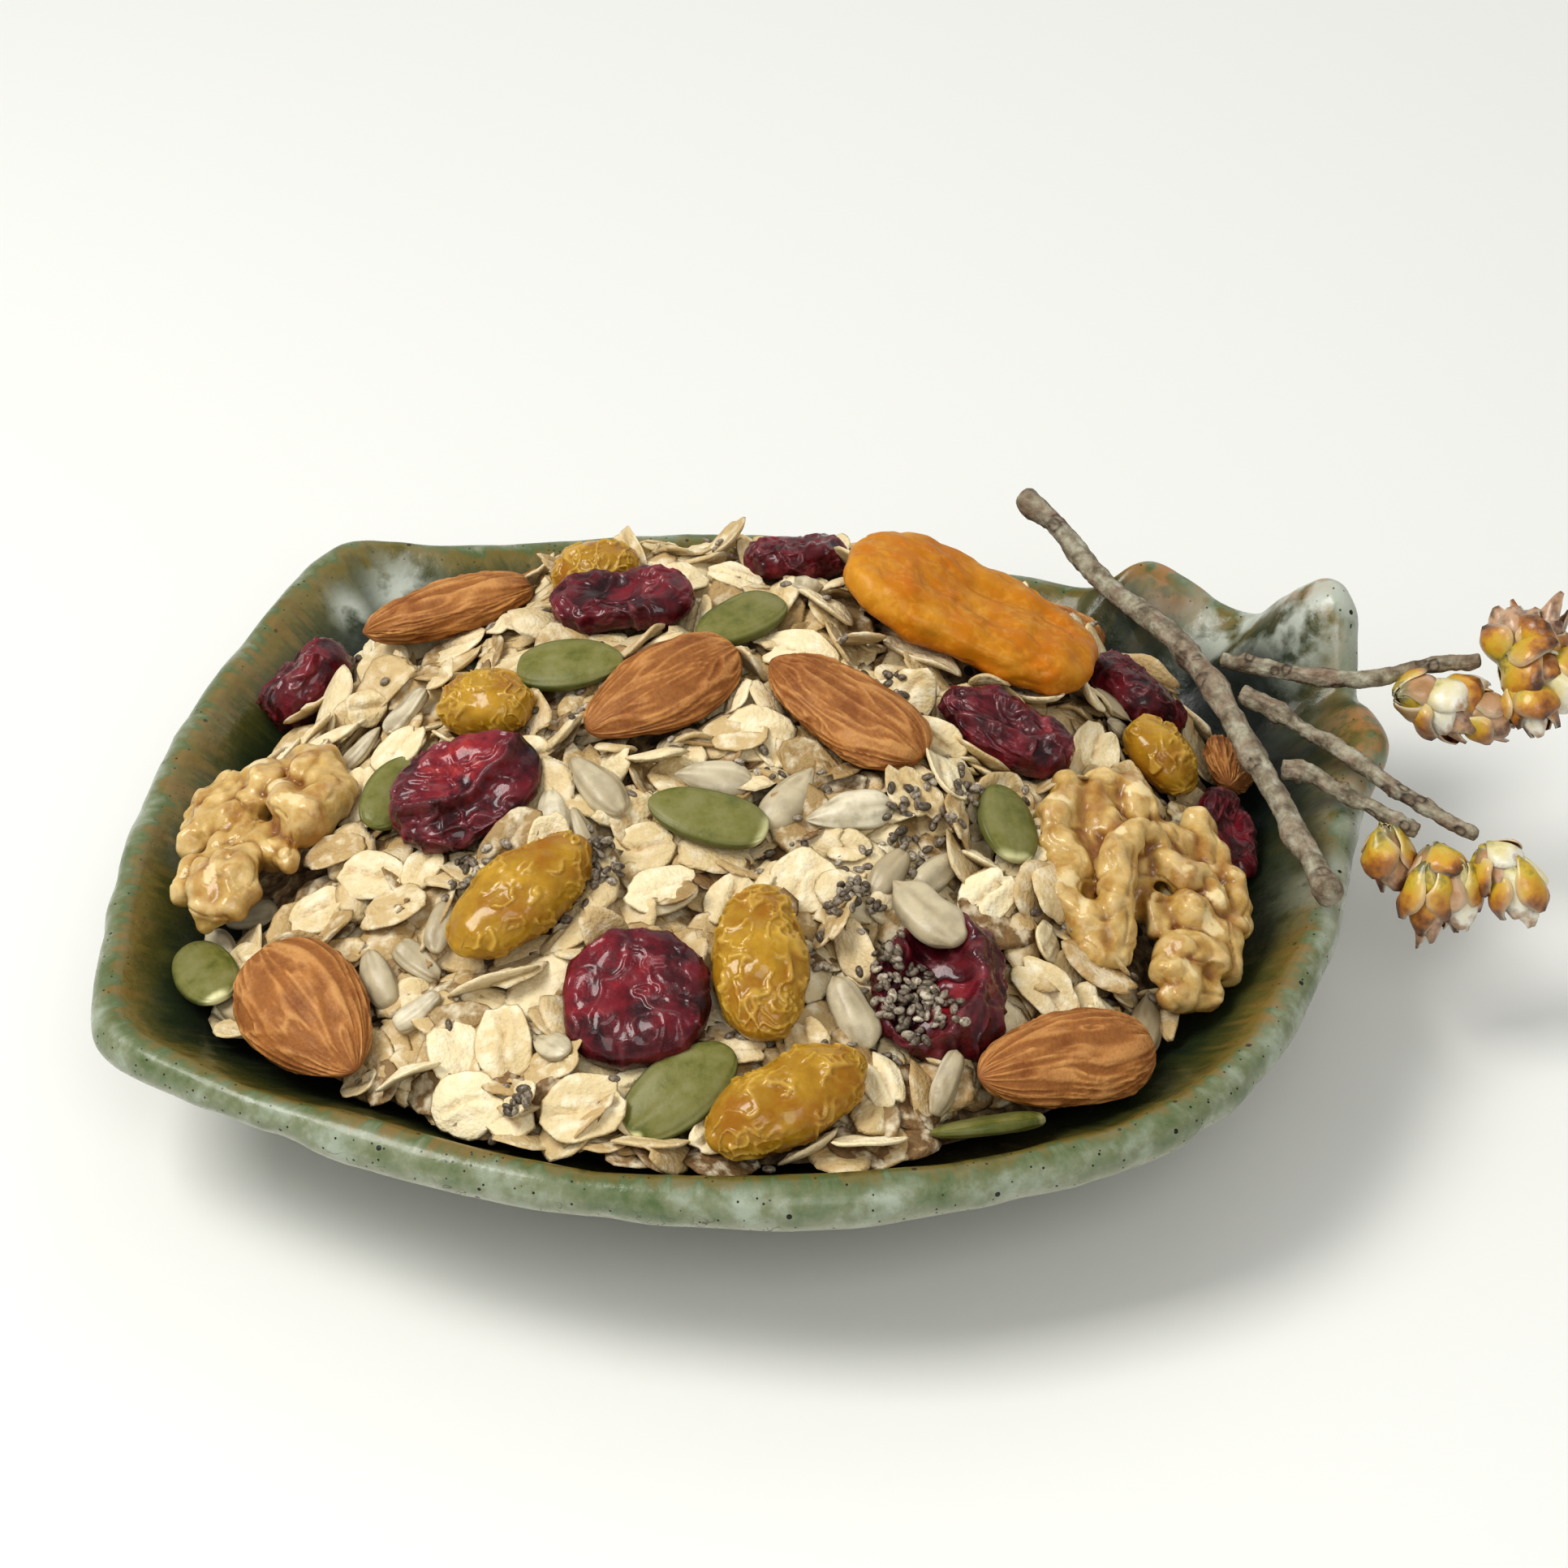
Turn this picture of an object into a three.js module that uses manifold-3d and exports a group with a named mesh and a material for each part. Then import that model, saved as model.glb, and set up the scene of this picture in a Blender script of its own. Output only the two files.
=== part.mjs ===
// A hand-made stoneware dish heaped with oats, nuts, seeds and dried fruit, and a budding twig laid across
// its rim. Millimetres, +Z up. The origin is the centre of the dish's foot, on the table, and +X points to
// the lobed end.
import * as THREE from "three";
import { mergeVertices } from "three/addons/utils/BufferGeometryUtils.js";
import Module from "manifold-3d";

const wasm = await Module();
wasm.setup();

// ---------------------------------------------------------------- driving dimensions
const CONTACT_GAP = 0.35; // left between pieces that touch

const WALL = 5.6; // thickness of the dish's wall
const RIM_HEIGHT = 30; // crest of the plain rim above the table
const FLOOR_HEIGHT = 7; // top of the floor above the table
const FLAT_FLOOR = 0.32; // share of the radius that is flat inside
const WALL_CURVE = 1.7; // how late the wall turns up
const FOOT_EDGE = 0.45; // share of the radius that the flat foot covers
const FOOT_RISE = 2.4; // height of the foot's edge
const OVAL = { x: 84, y: 72 }; // half-lengths of the even oval low in the dish
// The rim's crest, anticlockwise from the right: lobe, notch, fin, knob, back, pinched corners and front.
const RIM = [
  [87, 1, 30], [90, 10, 31], [92.5, 16, 33], [91.5, 23, 33], [90, 29, 32], [90, 38, 41], [88, 42.5, 42],
  [83, 47, 36], [79, 48.5, 31.5], [73, 52, 31], [66.5, 55.5, 34], [62, 57, 35.5], [58, 56.5, 33],
  [54, 57, 30.5], [42, 61, 30], [27, 67, 30], [12, 71, 30], [-2, 72.5, 30], [-15, 71.5, 30], [-45, 69, 30],
  [-58, 69, 31], [-63.5, 63, 30.5], [-73, 43, 30], [-81, 14, 30], [-84, -8, 30], [-84, -28, 30],
  [-82.5, -44, 30], [-75, -51, 30], [-51, -65, 30], [-20, -76, 30], [11, -78.4, 30], [41, -72, 30],
  [57, -64, 30], [69, -51, 30], [82, -22, 30],
];
const RIM_STEPS = 2; // stations from one rim point to the next
const WALL_RINGS = [0.46, 0.62, 0.82, 1]; // shares of the radius where the wall has a ring
const LIP_STEPS = 3; // steps round the lip

const HEAP_CENTRE = { x: 2, y: 24 }; // the heap is highest behind the middle
const HEAP_HEIGHT = 53;
const HEAP_BULGE = { front: 2.3, back: 1.55 }; // 1 is a cone, 2 a dome
const HEAP_UNEVEN = 0.7; // height of its hummocks
const HEAP_GAP = 2.2; // from the heap to the wall
// How far up the wall the contents reach, as shares of the radius at these angles in degrees.
const HEAP_EDGE = [
  [0, 0.83], [20, 0.83], [40, 0.86], [60, 0.93], [90, 0.945], [112, 0.92], [132, 0.81], [150, 0.89],
  [180, 0.905], [205, 0.895], [225, 0.93], [250, 0.955], [290, 0.955], [310, 0.91], [335, 0.85], [360, 0.83],
];
// Shares of the way from the heap's middle to its edge where its top has a ring.
const HEAP_RINGS = [0.86, 0.7, 0.52, 0.35, 0.18];

// ---------------------------------------------------------------- materials
const finish = (color, roughness) => new THREE.MeshStandardMaterial({ color, roughness, metalness: 0 });
const MATERIALS = {
  glaze: finish(0x7e8f78, 0.25),
  oats: finish(0xd8c9a0, 0.8),
  almond: finish(0xa8693a, 0.55),
  cranberry: finish(0x5c1020, 0.3),
  walnut: finish(0xc49a60, 0.5),
  raisin: finish(0xb98a24, 0.35),
  apricot: finish(0xd98310, 0.45),
  pumpkin: finish(0x74804a, 0.45),
  bark: finish(0x8a7f74, 0.85),
  bud: finish(0xc08a3a, 0.6),
};

// ---------------------------------------------------------------- surfaces
// A closed surface through rings of equal count; the first and last rings are single points. A ring runs
// anticlockwise about the way from the first ring to the last, so the faces point outwards.
function skin(rings) {
  const points = rings.flat();
  const sides = rings[1].length;
  const starts = [];
  rings.reduce((sum, ring) => (starts.push(sum), sum + ring.length), 0);
  const index = [];
  const last = rings.length - 1;
  for (let i = 0; i < sides; i++) {
    const j = (i + 1) % sides;
    index.push(0, starts[1] + j, starts[1] + i);
    for (let k = 1; k < last - 1; k++) {
      const [a, b] = [starts[k], starts[k + 1]];
      index.push(a + i, a + j, b + j, a + i, b + j, b + i);
    }
    index.push(starts[last - 1] + i, starts[last - 1] + j, starts[last]);
  }
  return new THREE.BufferGeometry().setFromPoints(points).setIndex(index);
}

// A geometry in world space as a solid for cutting and joining, and back.
function toSolid(geometry) {
  const bare = mergeVertices(new THREE.BufferGeometry().copy(geometry), 1e-4);
  return new wasm.Manifold(new wasm.Mesh({
    numProp: 3,
    vertProperties: new Float32Array(bare.attributes.position.array),
    triVerts: new Uint32Array(bare.index.array),
  }));
}

function fromSolid(solid) {
  const mesh = solid.getMesh();
  const geometry = new THREE.BufferGeometry();
  geometry.setAttribute("position", new THREE.BufferAttribute(new Float32Array(mesh.vertProperties), 3));
  geometry.setIndex(new THREE.BufferAttribute(new Uint32Array(mesh.triVerts), 1));
  return geometry;
}

const joinAll = (geometries) => fromSolid(geometries.map(toSolid).reduce((a, b) => a.add(b)));

function node(name, geometry, material) {
  const mesh = new THREE.Mesh(geometry, material);
  mesh.name = name;
  return mesh;
}

// ---------------------------------------------------------------- the dish
const rimCurve = new THREE.CatmullRomCurve3(RIM.map((p) => new THREE.Vector3(...p)), true, "centripetal");
const rimStations = rimCurve.getPoints(RIM.length * RIM_STEPS).slice(0, -1);

// The middle of the wall at one rim station, as radius and height, at share s of the way out.
function wallMiddle(rim, s) {
  const angle = Math.atan2(rim.y, rim.x);
  const oval = 1 / Math.hypot(Math.cos(angle) / OVAL.x, Math.sin(angle) / OVAL.y);
  const lip = Math.hypot(rim.x, rim.y) - 0.45 * WALL;
  const outline = THREE.MathUtils.lerp(oval, lip, THREE.MathUtils.smoothstep(s, 0.5, 1));
  const turn = (Math.max(s - FLAT_FLOOR, 0) / (1 - FLAT_FLOOR)) ** WALL_CURVE;
  const lobe = (rim.z - RIM_HEIGHT) * THREE.MathUtils.smoothstep(s, 0.82, 1);
  return new THREE.Vector2(s * outline, FLOOR_HEIGHT - WALL / 2 + (RIM_HEIGHT - FLOOR_HEIGHT) * turn + lobe);
}

// A point of the wall at a distance from its middle: positive is inside. turn swings it round the lip.
function wallPoint(rim, s, distance, turn = Math.PI / 2) {
  const step = 0.01;
  const here = wallMiddle(rim, s);
  const slope = wallMiddle(rim, Math.min(s, 1)).sub(wallMiddle(rim, s - step)).angle() + turn;
  const out = here.x + distance * Math.cos(slope);
  const height = here.y + distance * Math.sin(slope);
  const angle = Math.atan2(rim.y, rim.x);
  return new THREE.Vector3(out * Math.cos(angle), out * Math.sin(angle), height);
}

const inside = (rim, s, gap = 0) => wallPoint(rim, s, WALL / 2 + gap);

function footPoint(rim, s, z) {
  const flat = wallMiddle(rim, s).x;
  const angle = Math.atan2(rim.y, rim.x);
  return new THREE.Vector3(flat * Math.cos(angle), flat * Math.sin(angle), z);
}

function dish() {
  const ring = (make) => rimStations.map(make);
  const outer = WALL_RINGS.slice(1).map((s) => ring((rim) => wallPoint(rim, s, -WALL / 2)));
  const lip = [];
  for (let k = 1; k < LIP_STEPS; k++) {
    const turn = -Math.PI / 2 + (Math.PI * k) / LIP_STEPS;
    lip.push(ring((rim) => wallPoint(rim, 1, WALL / 2, turn)));
  }
  const inner = [...WALL_RINGS].reverse().map((s) => ring((rim) => inside(rim, s)));
  return skin([
    [new THREE.Vector3(0, 0, 0)],
    ring((rim) => footPoint(rim, FOOT_EDGE, 0)),
    ring((rim) => footPoint(rim, FOOT_EDGE + 0.015, FOOT_RISE)),
    ...outer,
    ...lip,
    ...inner,
    ring((rim) => footPoint(rim, FLAT_FLOOR, FLOOR_HEIGHT)),
    [new THREE.Vector3(0, 0, FLOOR_HEIGHT)],
  ]);
}

// ---------------------------------------------------------------- the heap
// How far up the wall the contents reach at one rim station.
function heapEdge(rim) {
  const degrees = THREE.MathUtils.euclideanModulo(THREE.MathUtils.radToDeg(Math.atan2(rim.y, rim.x)), 360);
  const k = HEAP_EDGE.findIndex(([angle]) => angle > degrees);
  const [[a0, s0], [a1, s1]] = [HEAP_EDGE[k - 1], HEAP_EDGE[k]];
  return THREE.MathUtils.lerp(s0, s1, (degrees - a0) / (a1 - a0));
}

// The top of the heap at share rho of the way from its middle to the edge point.
function heapTop(edge, rho) {
  const [dx, dy] = [edge.x - HEAP_CENTRE.x, edge.y - HEAP_CENTRE.y];
  const back = Math.max(dy / Math.hypot(dx, dy), 0) ** 2;
  const bulge = THREE.MathUtils.lerp(HEAP_BULGE.front, HEAP_BULGE.back, back);
  const [x, y] = [HEAP_CENTRE.x + rho * dx, HEAP_CENTRE.y + rho * dy];
  const hummocks = HEAP_UNEVEN * Math.sin(x / 7 + 1) * Math.cos(y / 8) * (1 - rho ** 4);
  return new THREE.Vector3(x, y, edge.z + (HEAP_HEIGHT - edge.z) * (1 - rho ** bulge) + hummocks);
}

function heapBody() {
  const stations = rimStations.filter((_, i) => i % RIM_STEPS === 0);
  const edges = stations.map((rim) => inside(rim, heapEdge(rim), HEAP_GAP));
  const lowRings = WALL_RINGS.filter((s) => s < 0.85);
  return skin([
    [new THREE.Vector3(0, 0, FLOOR_HEIGHT + HEAP_GAP)],
    stations.map((rim) => footPoint(rim, FLAT_FLOOR, FLOOR_HEIGHT + HEAP_GAP)),
    ...lowRings.map((s) => stations.map((rim) => inside(rim, Math.min(s, heapEdge(rim) - 0.03), HEAP_GAP))),
    edges,
    ...HEAP_RINGS.map((rho) => edges.map((edge) => heapTop(edge, rho))),
    [heapTop(edges[0], 0)],
  ]);
}

// ---------------------------------------------------------------- food shapes
// A kernel, seed or fruit lying along X with its tip at -X. Its half-width follows (way from the tip)^tip
// times (way from the butt)^butt. wrinkle ripples its skin, dimple sinks its top, arch bows it up and bend
// bows it sideways.
function kernel({
  length, width, thick, tip = 0.5, butt = 0.5, sides = 10, rings = 6, wrinkle = 0, dimple = 0, arch = 0,
  bend = 0, phase = 0,
}) {
  const most = tip / (tip + butt);
  const girth = (v) => (v ** tip * (1 - v) ** butt) / (most ** tip * (1 - most) ** butt);
  const point = (v, u) => {
    const g = girth(v) * (1 + wrinkle * Math.cos(3 * u + phase) + wrinkle * Math.sin(2 * u + 7 * v + phase));
    const along = 2 * v - 1;
    const y = (width / 2) * g * Math.cos(u) + bend * (along * along - 0.5);
    const sink = dimple * Math.max(Math.sin(u), 0) * girth(v) ** 3;
    const z = (thick / 2) * g * Math.sin(u) - sink - arch * (along * along - 0.5);
    return new THREE.Vector3((length * along) / 2, y, z);
  };
  const shell = [[point(0, 0)]];
  for (let j = 1; j <= rings; j++) {
    const v = (1 - Math.cos((Math.PI * j) / (rings + 1))) / 2;
    shell.push(Array.from({ length: sides }, (_, i) => point(v, (2 * Math.PI * i) / sides)));
  }
  return skin([...shell, [point(1, 0)]]);
}

const LOBE_TURN = 0.4; // how much a walnut's lobes turn along it, in radians for each millimetre

// A walnut kernel: a low body and its rounded lobes, each [x, y, z, radius], joined in one.
function walnut({ length, width, thick, lobes }) {
  const body = kernel({ length: 0.8 * length, width: 0.7 * width, thick: 0.7 * thick, sides: 8, rings: 3 });
  const rounds = lobes.map(([x, y, z, radius]) => {
    const size = { length: 2.3 * radius, width: 2.1 * radius, thick: 1.9 * radius };
    const lobe = kernel({ ...size, sides: 6, rings: 2 });
    return lobe.rotateZ(LOBE_TURN * x).translate(x, y, z);
  });
  return joinAll([body, ...rounds]);
}

const POCKET_SPARE = 1.5; // what a pocket's flat faces cost in width

// The room that a piece takes in the heap: its own shape a little larger, or a smooth oval round a walnut's
// lobes.
function pocket({ length, width, thick, lobes, ...rest }) {
  const spare = 2 * CONTACT_GAP + POCKET_SPARE;
  if (lobes) {
    const round = { tip: 0.4, butt: 0.4, sides: 12 };
    return kernel({ length: 1.26 * length, width: 1.3 * width, thick: 1.5 * thick, ...round });
  }
  const size = { length: length + spare, width: width + spare, thick: thick + spare };
  return kernel({ ...rest, ...size, sides: 8, rings: 4 });
}

// ---------------------------------------------------------------- where the food lies
const ALMOND = { length: 24, width: 13.8, thick: 8, tip: 0.72, butt: 0.44, sides: 10, rings: 4 };
const CRANBERRY = { length: 19, width: 14, thick: 7.6, wrinkle: 0.05, dimple: 1.6, rings: 4 };
const RAISIN = { length: 21, width: 11.5, thick: 9, wrinkle: 0.03, rings: 4, sides: 9 };
const PUMPKIN_SEED = { length: 16, width: 8.6, thick: 2.8, tip: 0.62, butt: 0.46, sides: 8, rings: 4 };
const APRICOT = {
  length: 38, width: 22, thick: 9.5, wrinkle: 0.03, dimple: 1.5, arch: 1.5, bend: 2, sides: 12,
};
const WALNUT_LEFT = {
  length: 28, width: 24, thick: 11,
  lobes: [
    [4, -7.5, 1.5, 5.2], [9, -4.5, 1, 4.2], [-1, -8, 1, 4], [9, 5.5, 0.5, 4.4], [11, 1, 0.5, 3.6],
    [5, 8.5, 0, 4], [-10.5, 4.5, 1, 4.8], [-8, 8, 0, 3.8], [-5, -2.5, 1, 4.6], [2, 2.5, 1, 4.4],
  ],
};
const WALNUT_RIGHT = {
  length: 33, width: 30, thick: 13,
  lobes: [
    [12, 5, 1, 5.6], [9.5, 11, 0, 4.6], [2, 12, 0.5, 5.2], [-6, 11, 0.5, 5.2], [1, 3.5, 2.6, 5],
    [7, -9, 1, 5.6], [-1, -10.5, 1, 5.6], [-10, -7, 0.5, 5.6], [-12.5, -1.5, 0, 4.4], [12, -3, 0.5, 4.6],
  ],
};

// One row for each piece: shape, changes to its size, x, y, heading of its butt end in degrees, lift of its
// middle over the heap, pitch (butt end up) and roll (left side up) off the heap's slope in degrees.
const FOOD = [
  ["almond_1", ALMOND, { length: 24.5, width: 14.2 }, -9, -0.8, 37, 1.8, 0, 8],
  ["almond_2", ALMOND, { length: 26, width: 14 }, 15.5, -4.3, -39, 1.8, 0, 6],
  ["almond_3", ALMOND, { length: 24.5, width: 16.5, thick: 9 }, -53.4, -43.8, 122, 3.4, 0, 8],
  ["almond_4", ALMOND, { length: 26.5, width: 14, thick: 8.5 }, 42.2, -52.4, 24, 3.6, 0, -8],
  ["almond_5", ALMOND, { length: 25, width: 12.5 }, -39, 29, 18, 3, -16, 0],
  ["almond_6", ALMOND, { length: 14, width: 8.5, thick: 5.5 }, 68.4, 16.4, 74, 3.6, 0, 6],
  ["cranberry_1", CRANBERRY, { length: 20.5, width: 12.5, thick: 8.5 }, -15, 18.4, -6, 2.4, 0, 0],
  ["cranberry_2", CRANBERRY, { length: 15.5, width: 13.5, thick: 7.5 }, -58.8, 29, 20, 4.1, 0, 0],
  ["cranberry_3", CRANBERRY, { length: 21, width: 17, thick: 8 }, -34, -16, 25, 3, 0, 6],
  ["cranberry_4", CRANBERRY, { length: 14, width: 11, thick: 7 }, 9, 33, 20, 1.6, 0, 0],
  ["cranberry_5", CRANBERRY, { length: 19.5, width: 18, thick: 8.5 }, -11.3, -50, 6, 3.4, 0, 4],
  ["cranberry_6", CRANBERRY, { length: 20.5, width: 11.5, thick: 8.5 }, 37, -1, -17, 2.2, 0, 0],
  ["cranberry_7", CRANBERRY, { length: 21, width: 17.5, thick: 8, dimple: 2.6 }, 28, -45.6, 86, 2.4, 0, -6],
  ["cranberry_8", CRANBERRY, { length: 17, width: 12, thick: 7.5 }, 56, 22.5, -12, 2.4, 0, -10],
  ["cranberry_9", CRANBERRY, { length: 15, width: 9, thick: 6.5 }, 67.6, 2, 97, 5, 0, 8],
  ["golden_raisin_1", RAISIN, { length: 13, width: 11.5, thick: 9 }, -32.6, -0.4, -24, 2, 0, 0],
  ["golden_raisin_2", RAISIN, { length: 23, width: 12, thick: 9.5 }, -26.2, -34.4, 40, 3, 0, 0],
  ["golden_raisin_3", RAISIN, { length: 22, width: 13, thick: 9.5 }, 4.8, -45.8, 91, 3, 0, 0],
  ["golden_raisin_4", RAISIN, { length: 23, width: 12, thick: 9.5 }, 7.8, -63.2, 33, 3.8, 0, -4],
  ["golden_raisin_5", RAISIN, { length: 13, width: 10, thick: 8 }, -19, 29.4, -8, 1, 0, 0],
  ["golden_raisin_6", RAISIN, { length: 13, width: 10, thick: 8 }, 59, 10.4, -24, 2, 0, -8],
  ["pumpkin_seed_1", PUMPKIN_SEED, { length: 15 }, 1.4, 14, 42, 1.3, 0, 6],
  ["pumpkin_seed_2", PUMPKIN_SEED, { length: 15 }, -21.6, 6.4, 178, 1.4, 0, -10],
  ["pumpkin_seed_3", PUMPKIN_SEED, { length: 16.5 }, -2.7, -23.3, 162, 1.4, 0, 0],
  ["pumpkin_seed_4", PUMPKIN_SEED, { length: 15.5 }, -68.4, -31.6, 114, 2.6, 0, 16],
  ["pumpkin_seed_5", PUMPKIN_SEED, { length: 17, width: 10 }, -5.6, -61, 42, 1.8, 0, 0],
  ["pumpkin_seed_6", PUMPKIN_SEED, { length: 13.5, width: 8.6 }, 36.3, -18.9, 102, 2, 0, 0],
  ["pumpkin_seed_7", PUMPKIN_SEED, { length: 15.5, thick: 2.6 }, 32.4, -63.4, 203, 2.6, 0, 50],
  ["pumpkin_seed_8", PUMPKIN_SEED, { length: 13 }, -44.4, -12, 62, 0.8, 0, 34],
  ["almond_7", ALMOND, { length: 23, width: 12.5 }, -25, 54.5, 166, 1, 0, 0],
  ["almond_8", ALMOND, { length: 22, width: 12.5 }, 44, 43.5, -48, 0.6, 0, 0],
  ["cranberry_10", CRANBERRY, { length: 17, width: 12.5, thick: 7 }, -5.5, 58, 12, 0.2, 0, 0],
  ["golden_raisin_7", RAISIN, { length: 17, width: 10, thick: 8 }, 25.5, 52, -24, 0.2, 0, 0],
  ["pumpkin_seed_9", PUMPKIN_SEED, { length: 15.5 }, 10.5, 55.5, 70, 1, 0, 0],
  ["walnut_1", WALNUT_LEFT, {}, -61.5, -11.2, 92, 3.6, 0, 14],
  ["walnut_2", WALNUT_RIGHT, {}, 54.1, -20.8, 97, 5.2, 0, -15],
  ["apricot", APRICOT, {}, 32, 19.6, -10, 3.6, 0, 0],
];
const PROBE = 4; // how far from its middle a piece feels the slope
const KINDS = {
  almond: MATERIALS.almond, cranberry: MATERIALS.cranberry, golden_raisin: MATERIALS.raisin,
  pumpkin_seed: MATERIALS.pumpkin, walnut: MATERIALS.walnut, apricot: MATERIALS.apricot,
};

// The ground that the pieces lie on: the heap's top, and the wall from its edge up to the rim.
function layingGround() {
  const edges = rimStations.map((rim) => inside(rim, heapEdge(rim), CONTACT_GAP));
  const rim = rimStations.map((station) => inside(station, 1, CONTACT_GAP));
  const tops = [1, ...HEAP_RINGS].map((rho) => edges.map((edge) => heapTop(edge, rho)));
  return new THREE.Mesh(skin([[new THREE.Vector3()], rim, ...tops, [heapTop(edges[0], 0)]]), MATERIALS.oats);
}

// The turn and place of a piece that lies on the ground at x, y.
function lieOn(ground, x, y, heading, lift, pitch, roll) {
  const down = new THREE.Vector3(0, 0, -1);
  const height = (dx, dy) => {
    const above = new THREE.Vector3(x + dx, y + dy, 4 * HEAP_HEIGHT);
    return new THREE.Raycaster(above, down).intersectObject(ground)[0].point.z;
  };
  const rise = [height(-PROBE, 0) - height(PROBE, 0), height(0, -PROBE) - height(0, PROBE)];
  const up = new THREE.Vector3(...rise, 2 * PROBE).normalize();
  const turn = THREE.MathUtils.degToRad(heading);
  const ahead = new THREE.Vector3(Math.cos(turn), Math.sin(turn), 0).projectOnPlane(up).normalize();
  const side = new THREE.Vector3().crossVectors(up, ahead);
  const matrix = new THREE.Matrix4().makeBasis(ahead, side, up);
  matrix.multiply(new THREE.Matrix4().makeRotationY(THREE.MathUtils.degToRad(-pitch)));
  matrix.multiply(new THREE.Matrix4().makeRotationX(THREE.MathUtils.degToRad(roll)));
  return matrix.setPosition(new THREE.Vector3(x, y, height(0, 0)).addScaledVector(up, lift));
}

// ---------------------------------------------------------------- the twig
// A round twig along a smooth curve, thinning from its start to its end, with a rounded point at each end.
function stick(points, startRadius, endRadius, sides, steps) {
  const curve = new THREE.CatmullRomCurve3(points.map((p) => new THREE.Vector3(...p)), false, "centripetal");
  const frames = curve.computeFrenetFrames(steps, false);
  const rings = [[curve.getPointAt(0)]];
  for (let k = 0; k <= steps; k++) {
    const rounding = k === 0 || k === steps ? 0.8 : 1;
    const radius = rounding * THREE.MathUtils.lerp(startRadius, endRadius, k / steps);
    const centre = curve.getPointAt(k / steps);
    rings.push(Array.from({ length: sides }, (_, i) => {
      const u = (2 * Math.PI * i) / sides;
      return centre.clone()
        .addScaledVector(frames.normals[k], radius * Math.cos(u))
        .addScaledVector(frames.binormals[k], radius * Math.sin(u));
    }));
  }
  const tangent = (k) => frames.tangents[k].clone().multiplyScalar(0.4);
  rings[0][0].sub(tangent(0));
  rings.push([curve.getPointAt(1).add(tangent(steps))]);
  return skin(rings);
}

const TWIG = {
  stem: {
    start: 1.7, end: 1.6, sides: 7, steps: 18,
    route: [
      [43, 69, 38.5], [48, 62.5, 37], [52, 55, 35.4], [55.5, 48, 35.4], [60, 40, 36.4], [64.5, 31, 37.2],
      [67.5, 22.5, 37.4], [70, 15, 37], [72.4, 7, 36.2], [74.8, 0, 35.2], [77.2, -8, 34.2],
      [79.2, -15, 33.6], [81, -22, 33.8],
    ],
  },
  branch_1: {
    start: 1.3, end: 0.9, sides: 6, steps: 10,
    route: [
      [69.6, 29, 36.6], [74, 27.4, 36.8], [79, 25.4, 36.8], [84.5, 23.8, 37], [90.5, 23.2, 37.4],
      [97.5, 24.6, 38.4], [103, 24.4, 39.4], [106, 24, 40],
    ],
  },
  branch_2: {
    start: 1.3, end: 0.9, sides: 6, steps: 12,
    route: [
      [71.8, 20.6, 36.6], [75, 18.6, 36.2], [77.8, 16, 36.1], [80.8, 12.2, 36], [84.4, 8.7, 36],
      [87.8, 5, 35.6], [91.2, 0.8, 35], [95, -1.8, 34], [99, -5, 33.2], [102.4, -7.2, 32.6],
    ],
  },
  branch_3: {
    start: 1.4, end: 1, sides: 6, steps: 8,
    route: [
      [76.3, 4.4, 35.4], [79.4, 4.2, 35.1], [82.6, 1.4, 35], [86.2, -1.4, 34.6], [90, -4.2, 34],
      [94.2, -6.6, 33],
    ],
  },
};

// A cluster of buds, each [x, y, z, length, width, tilt, heading]: ovals that point along heading, tilted up
// or down.
function budCluster(buds) {
  return joinAll(buds.map(([x, y, z, length, width, tilt, heading]) => {
    const bud = kernel({ length, width, thick: width, tip: 0.5, butt: 0.7, sides: 6, rings: 2 });
    bud.rotateY(THREE.MathUtils.degToRad(-tilt)).rotateZ(THREE.MathUtils.degToRad(heading));
    return bud.translate(x, y, z);
  }));
}

const BUDS = {
  buds_1: [
    [97.5, 20.4, 36, 8, 5, -20, 20], [101, 19, 35, 9, 6.4, -30, -40], [103.5, 21, 34.4, 9, 6.4, -10, 10],
    [106.5, 18.5, 34, 8, 5.4, -30, 0],
  ],
  buds_2: [
    [110.5, 27, 42, 9, 6, 30, 100], [114.5, 26.5, 42.5, 9, 6, 40, 40], [113, 21.5, 39.5, 9, 7, -10, -30],
    [117, 21, 38, 9, 6.5, -30, 0], [112.5, 18, 36.6, 8, 5.6, -50, -60],
  ],
  buds_3: [[90.2, -8.6, 30.2, 8.5, 5, -70, -60]],
  buds_4: [
    [96.8, -10.6, 29.5, 6.5, 5.6, -40, -80], [95.6, -13.5, 26.6, 10.5, 4.8, -78, -100],
    [99.6, -12.8, 26.8, 10, 4.4, -80, -80],
  ],
  buds_5: [[105, -11, 30.2, 7, 5.6, -30, -40], [107.6, -13.4, 28.2, 9.5, 5, -65, -50]],
};

// ---------------------------------------------------------------- the whole
const group = new THREE.Group();
group.add(node("bowl", dish(), MATERIALS.glaze));

const ground = layingGround();
let heap = toSolid(heapBody());
for (const [name, shape, changes, ...lie] of FOOD) {
  const sized = { ...shape, ...changes };
  const make = sized.lobes ? walnut : kernel;
  const mesh = node(name, make(sized), KINDS[name.replace(/_\d+$/, "")]);
  mesh.applyMatrix4(lieOn(ground, ...lie));
  group.add(mesh);
  heap = heap.subtract(toSolid(pocket(sized).applyMatrix4(mesh.matrix)));
}
group.add(node("heap", fromSolid(heap), MATERIALS.oats));

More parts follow.
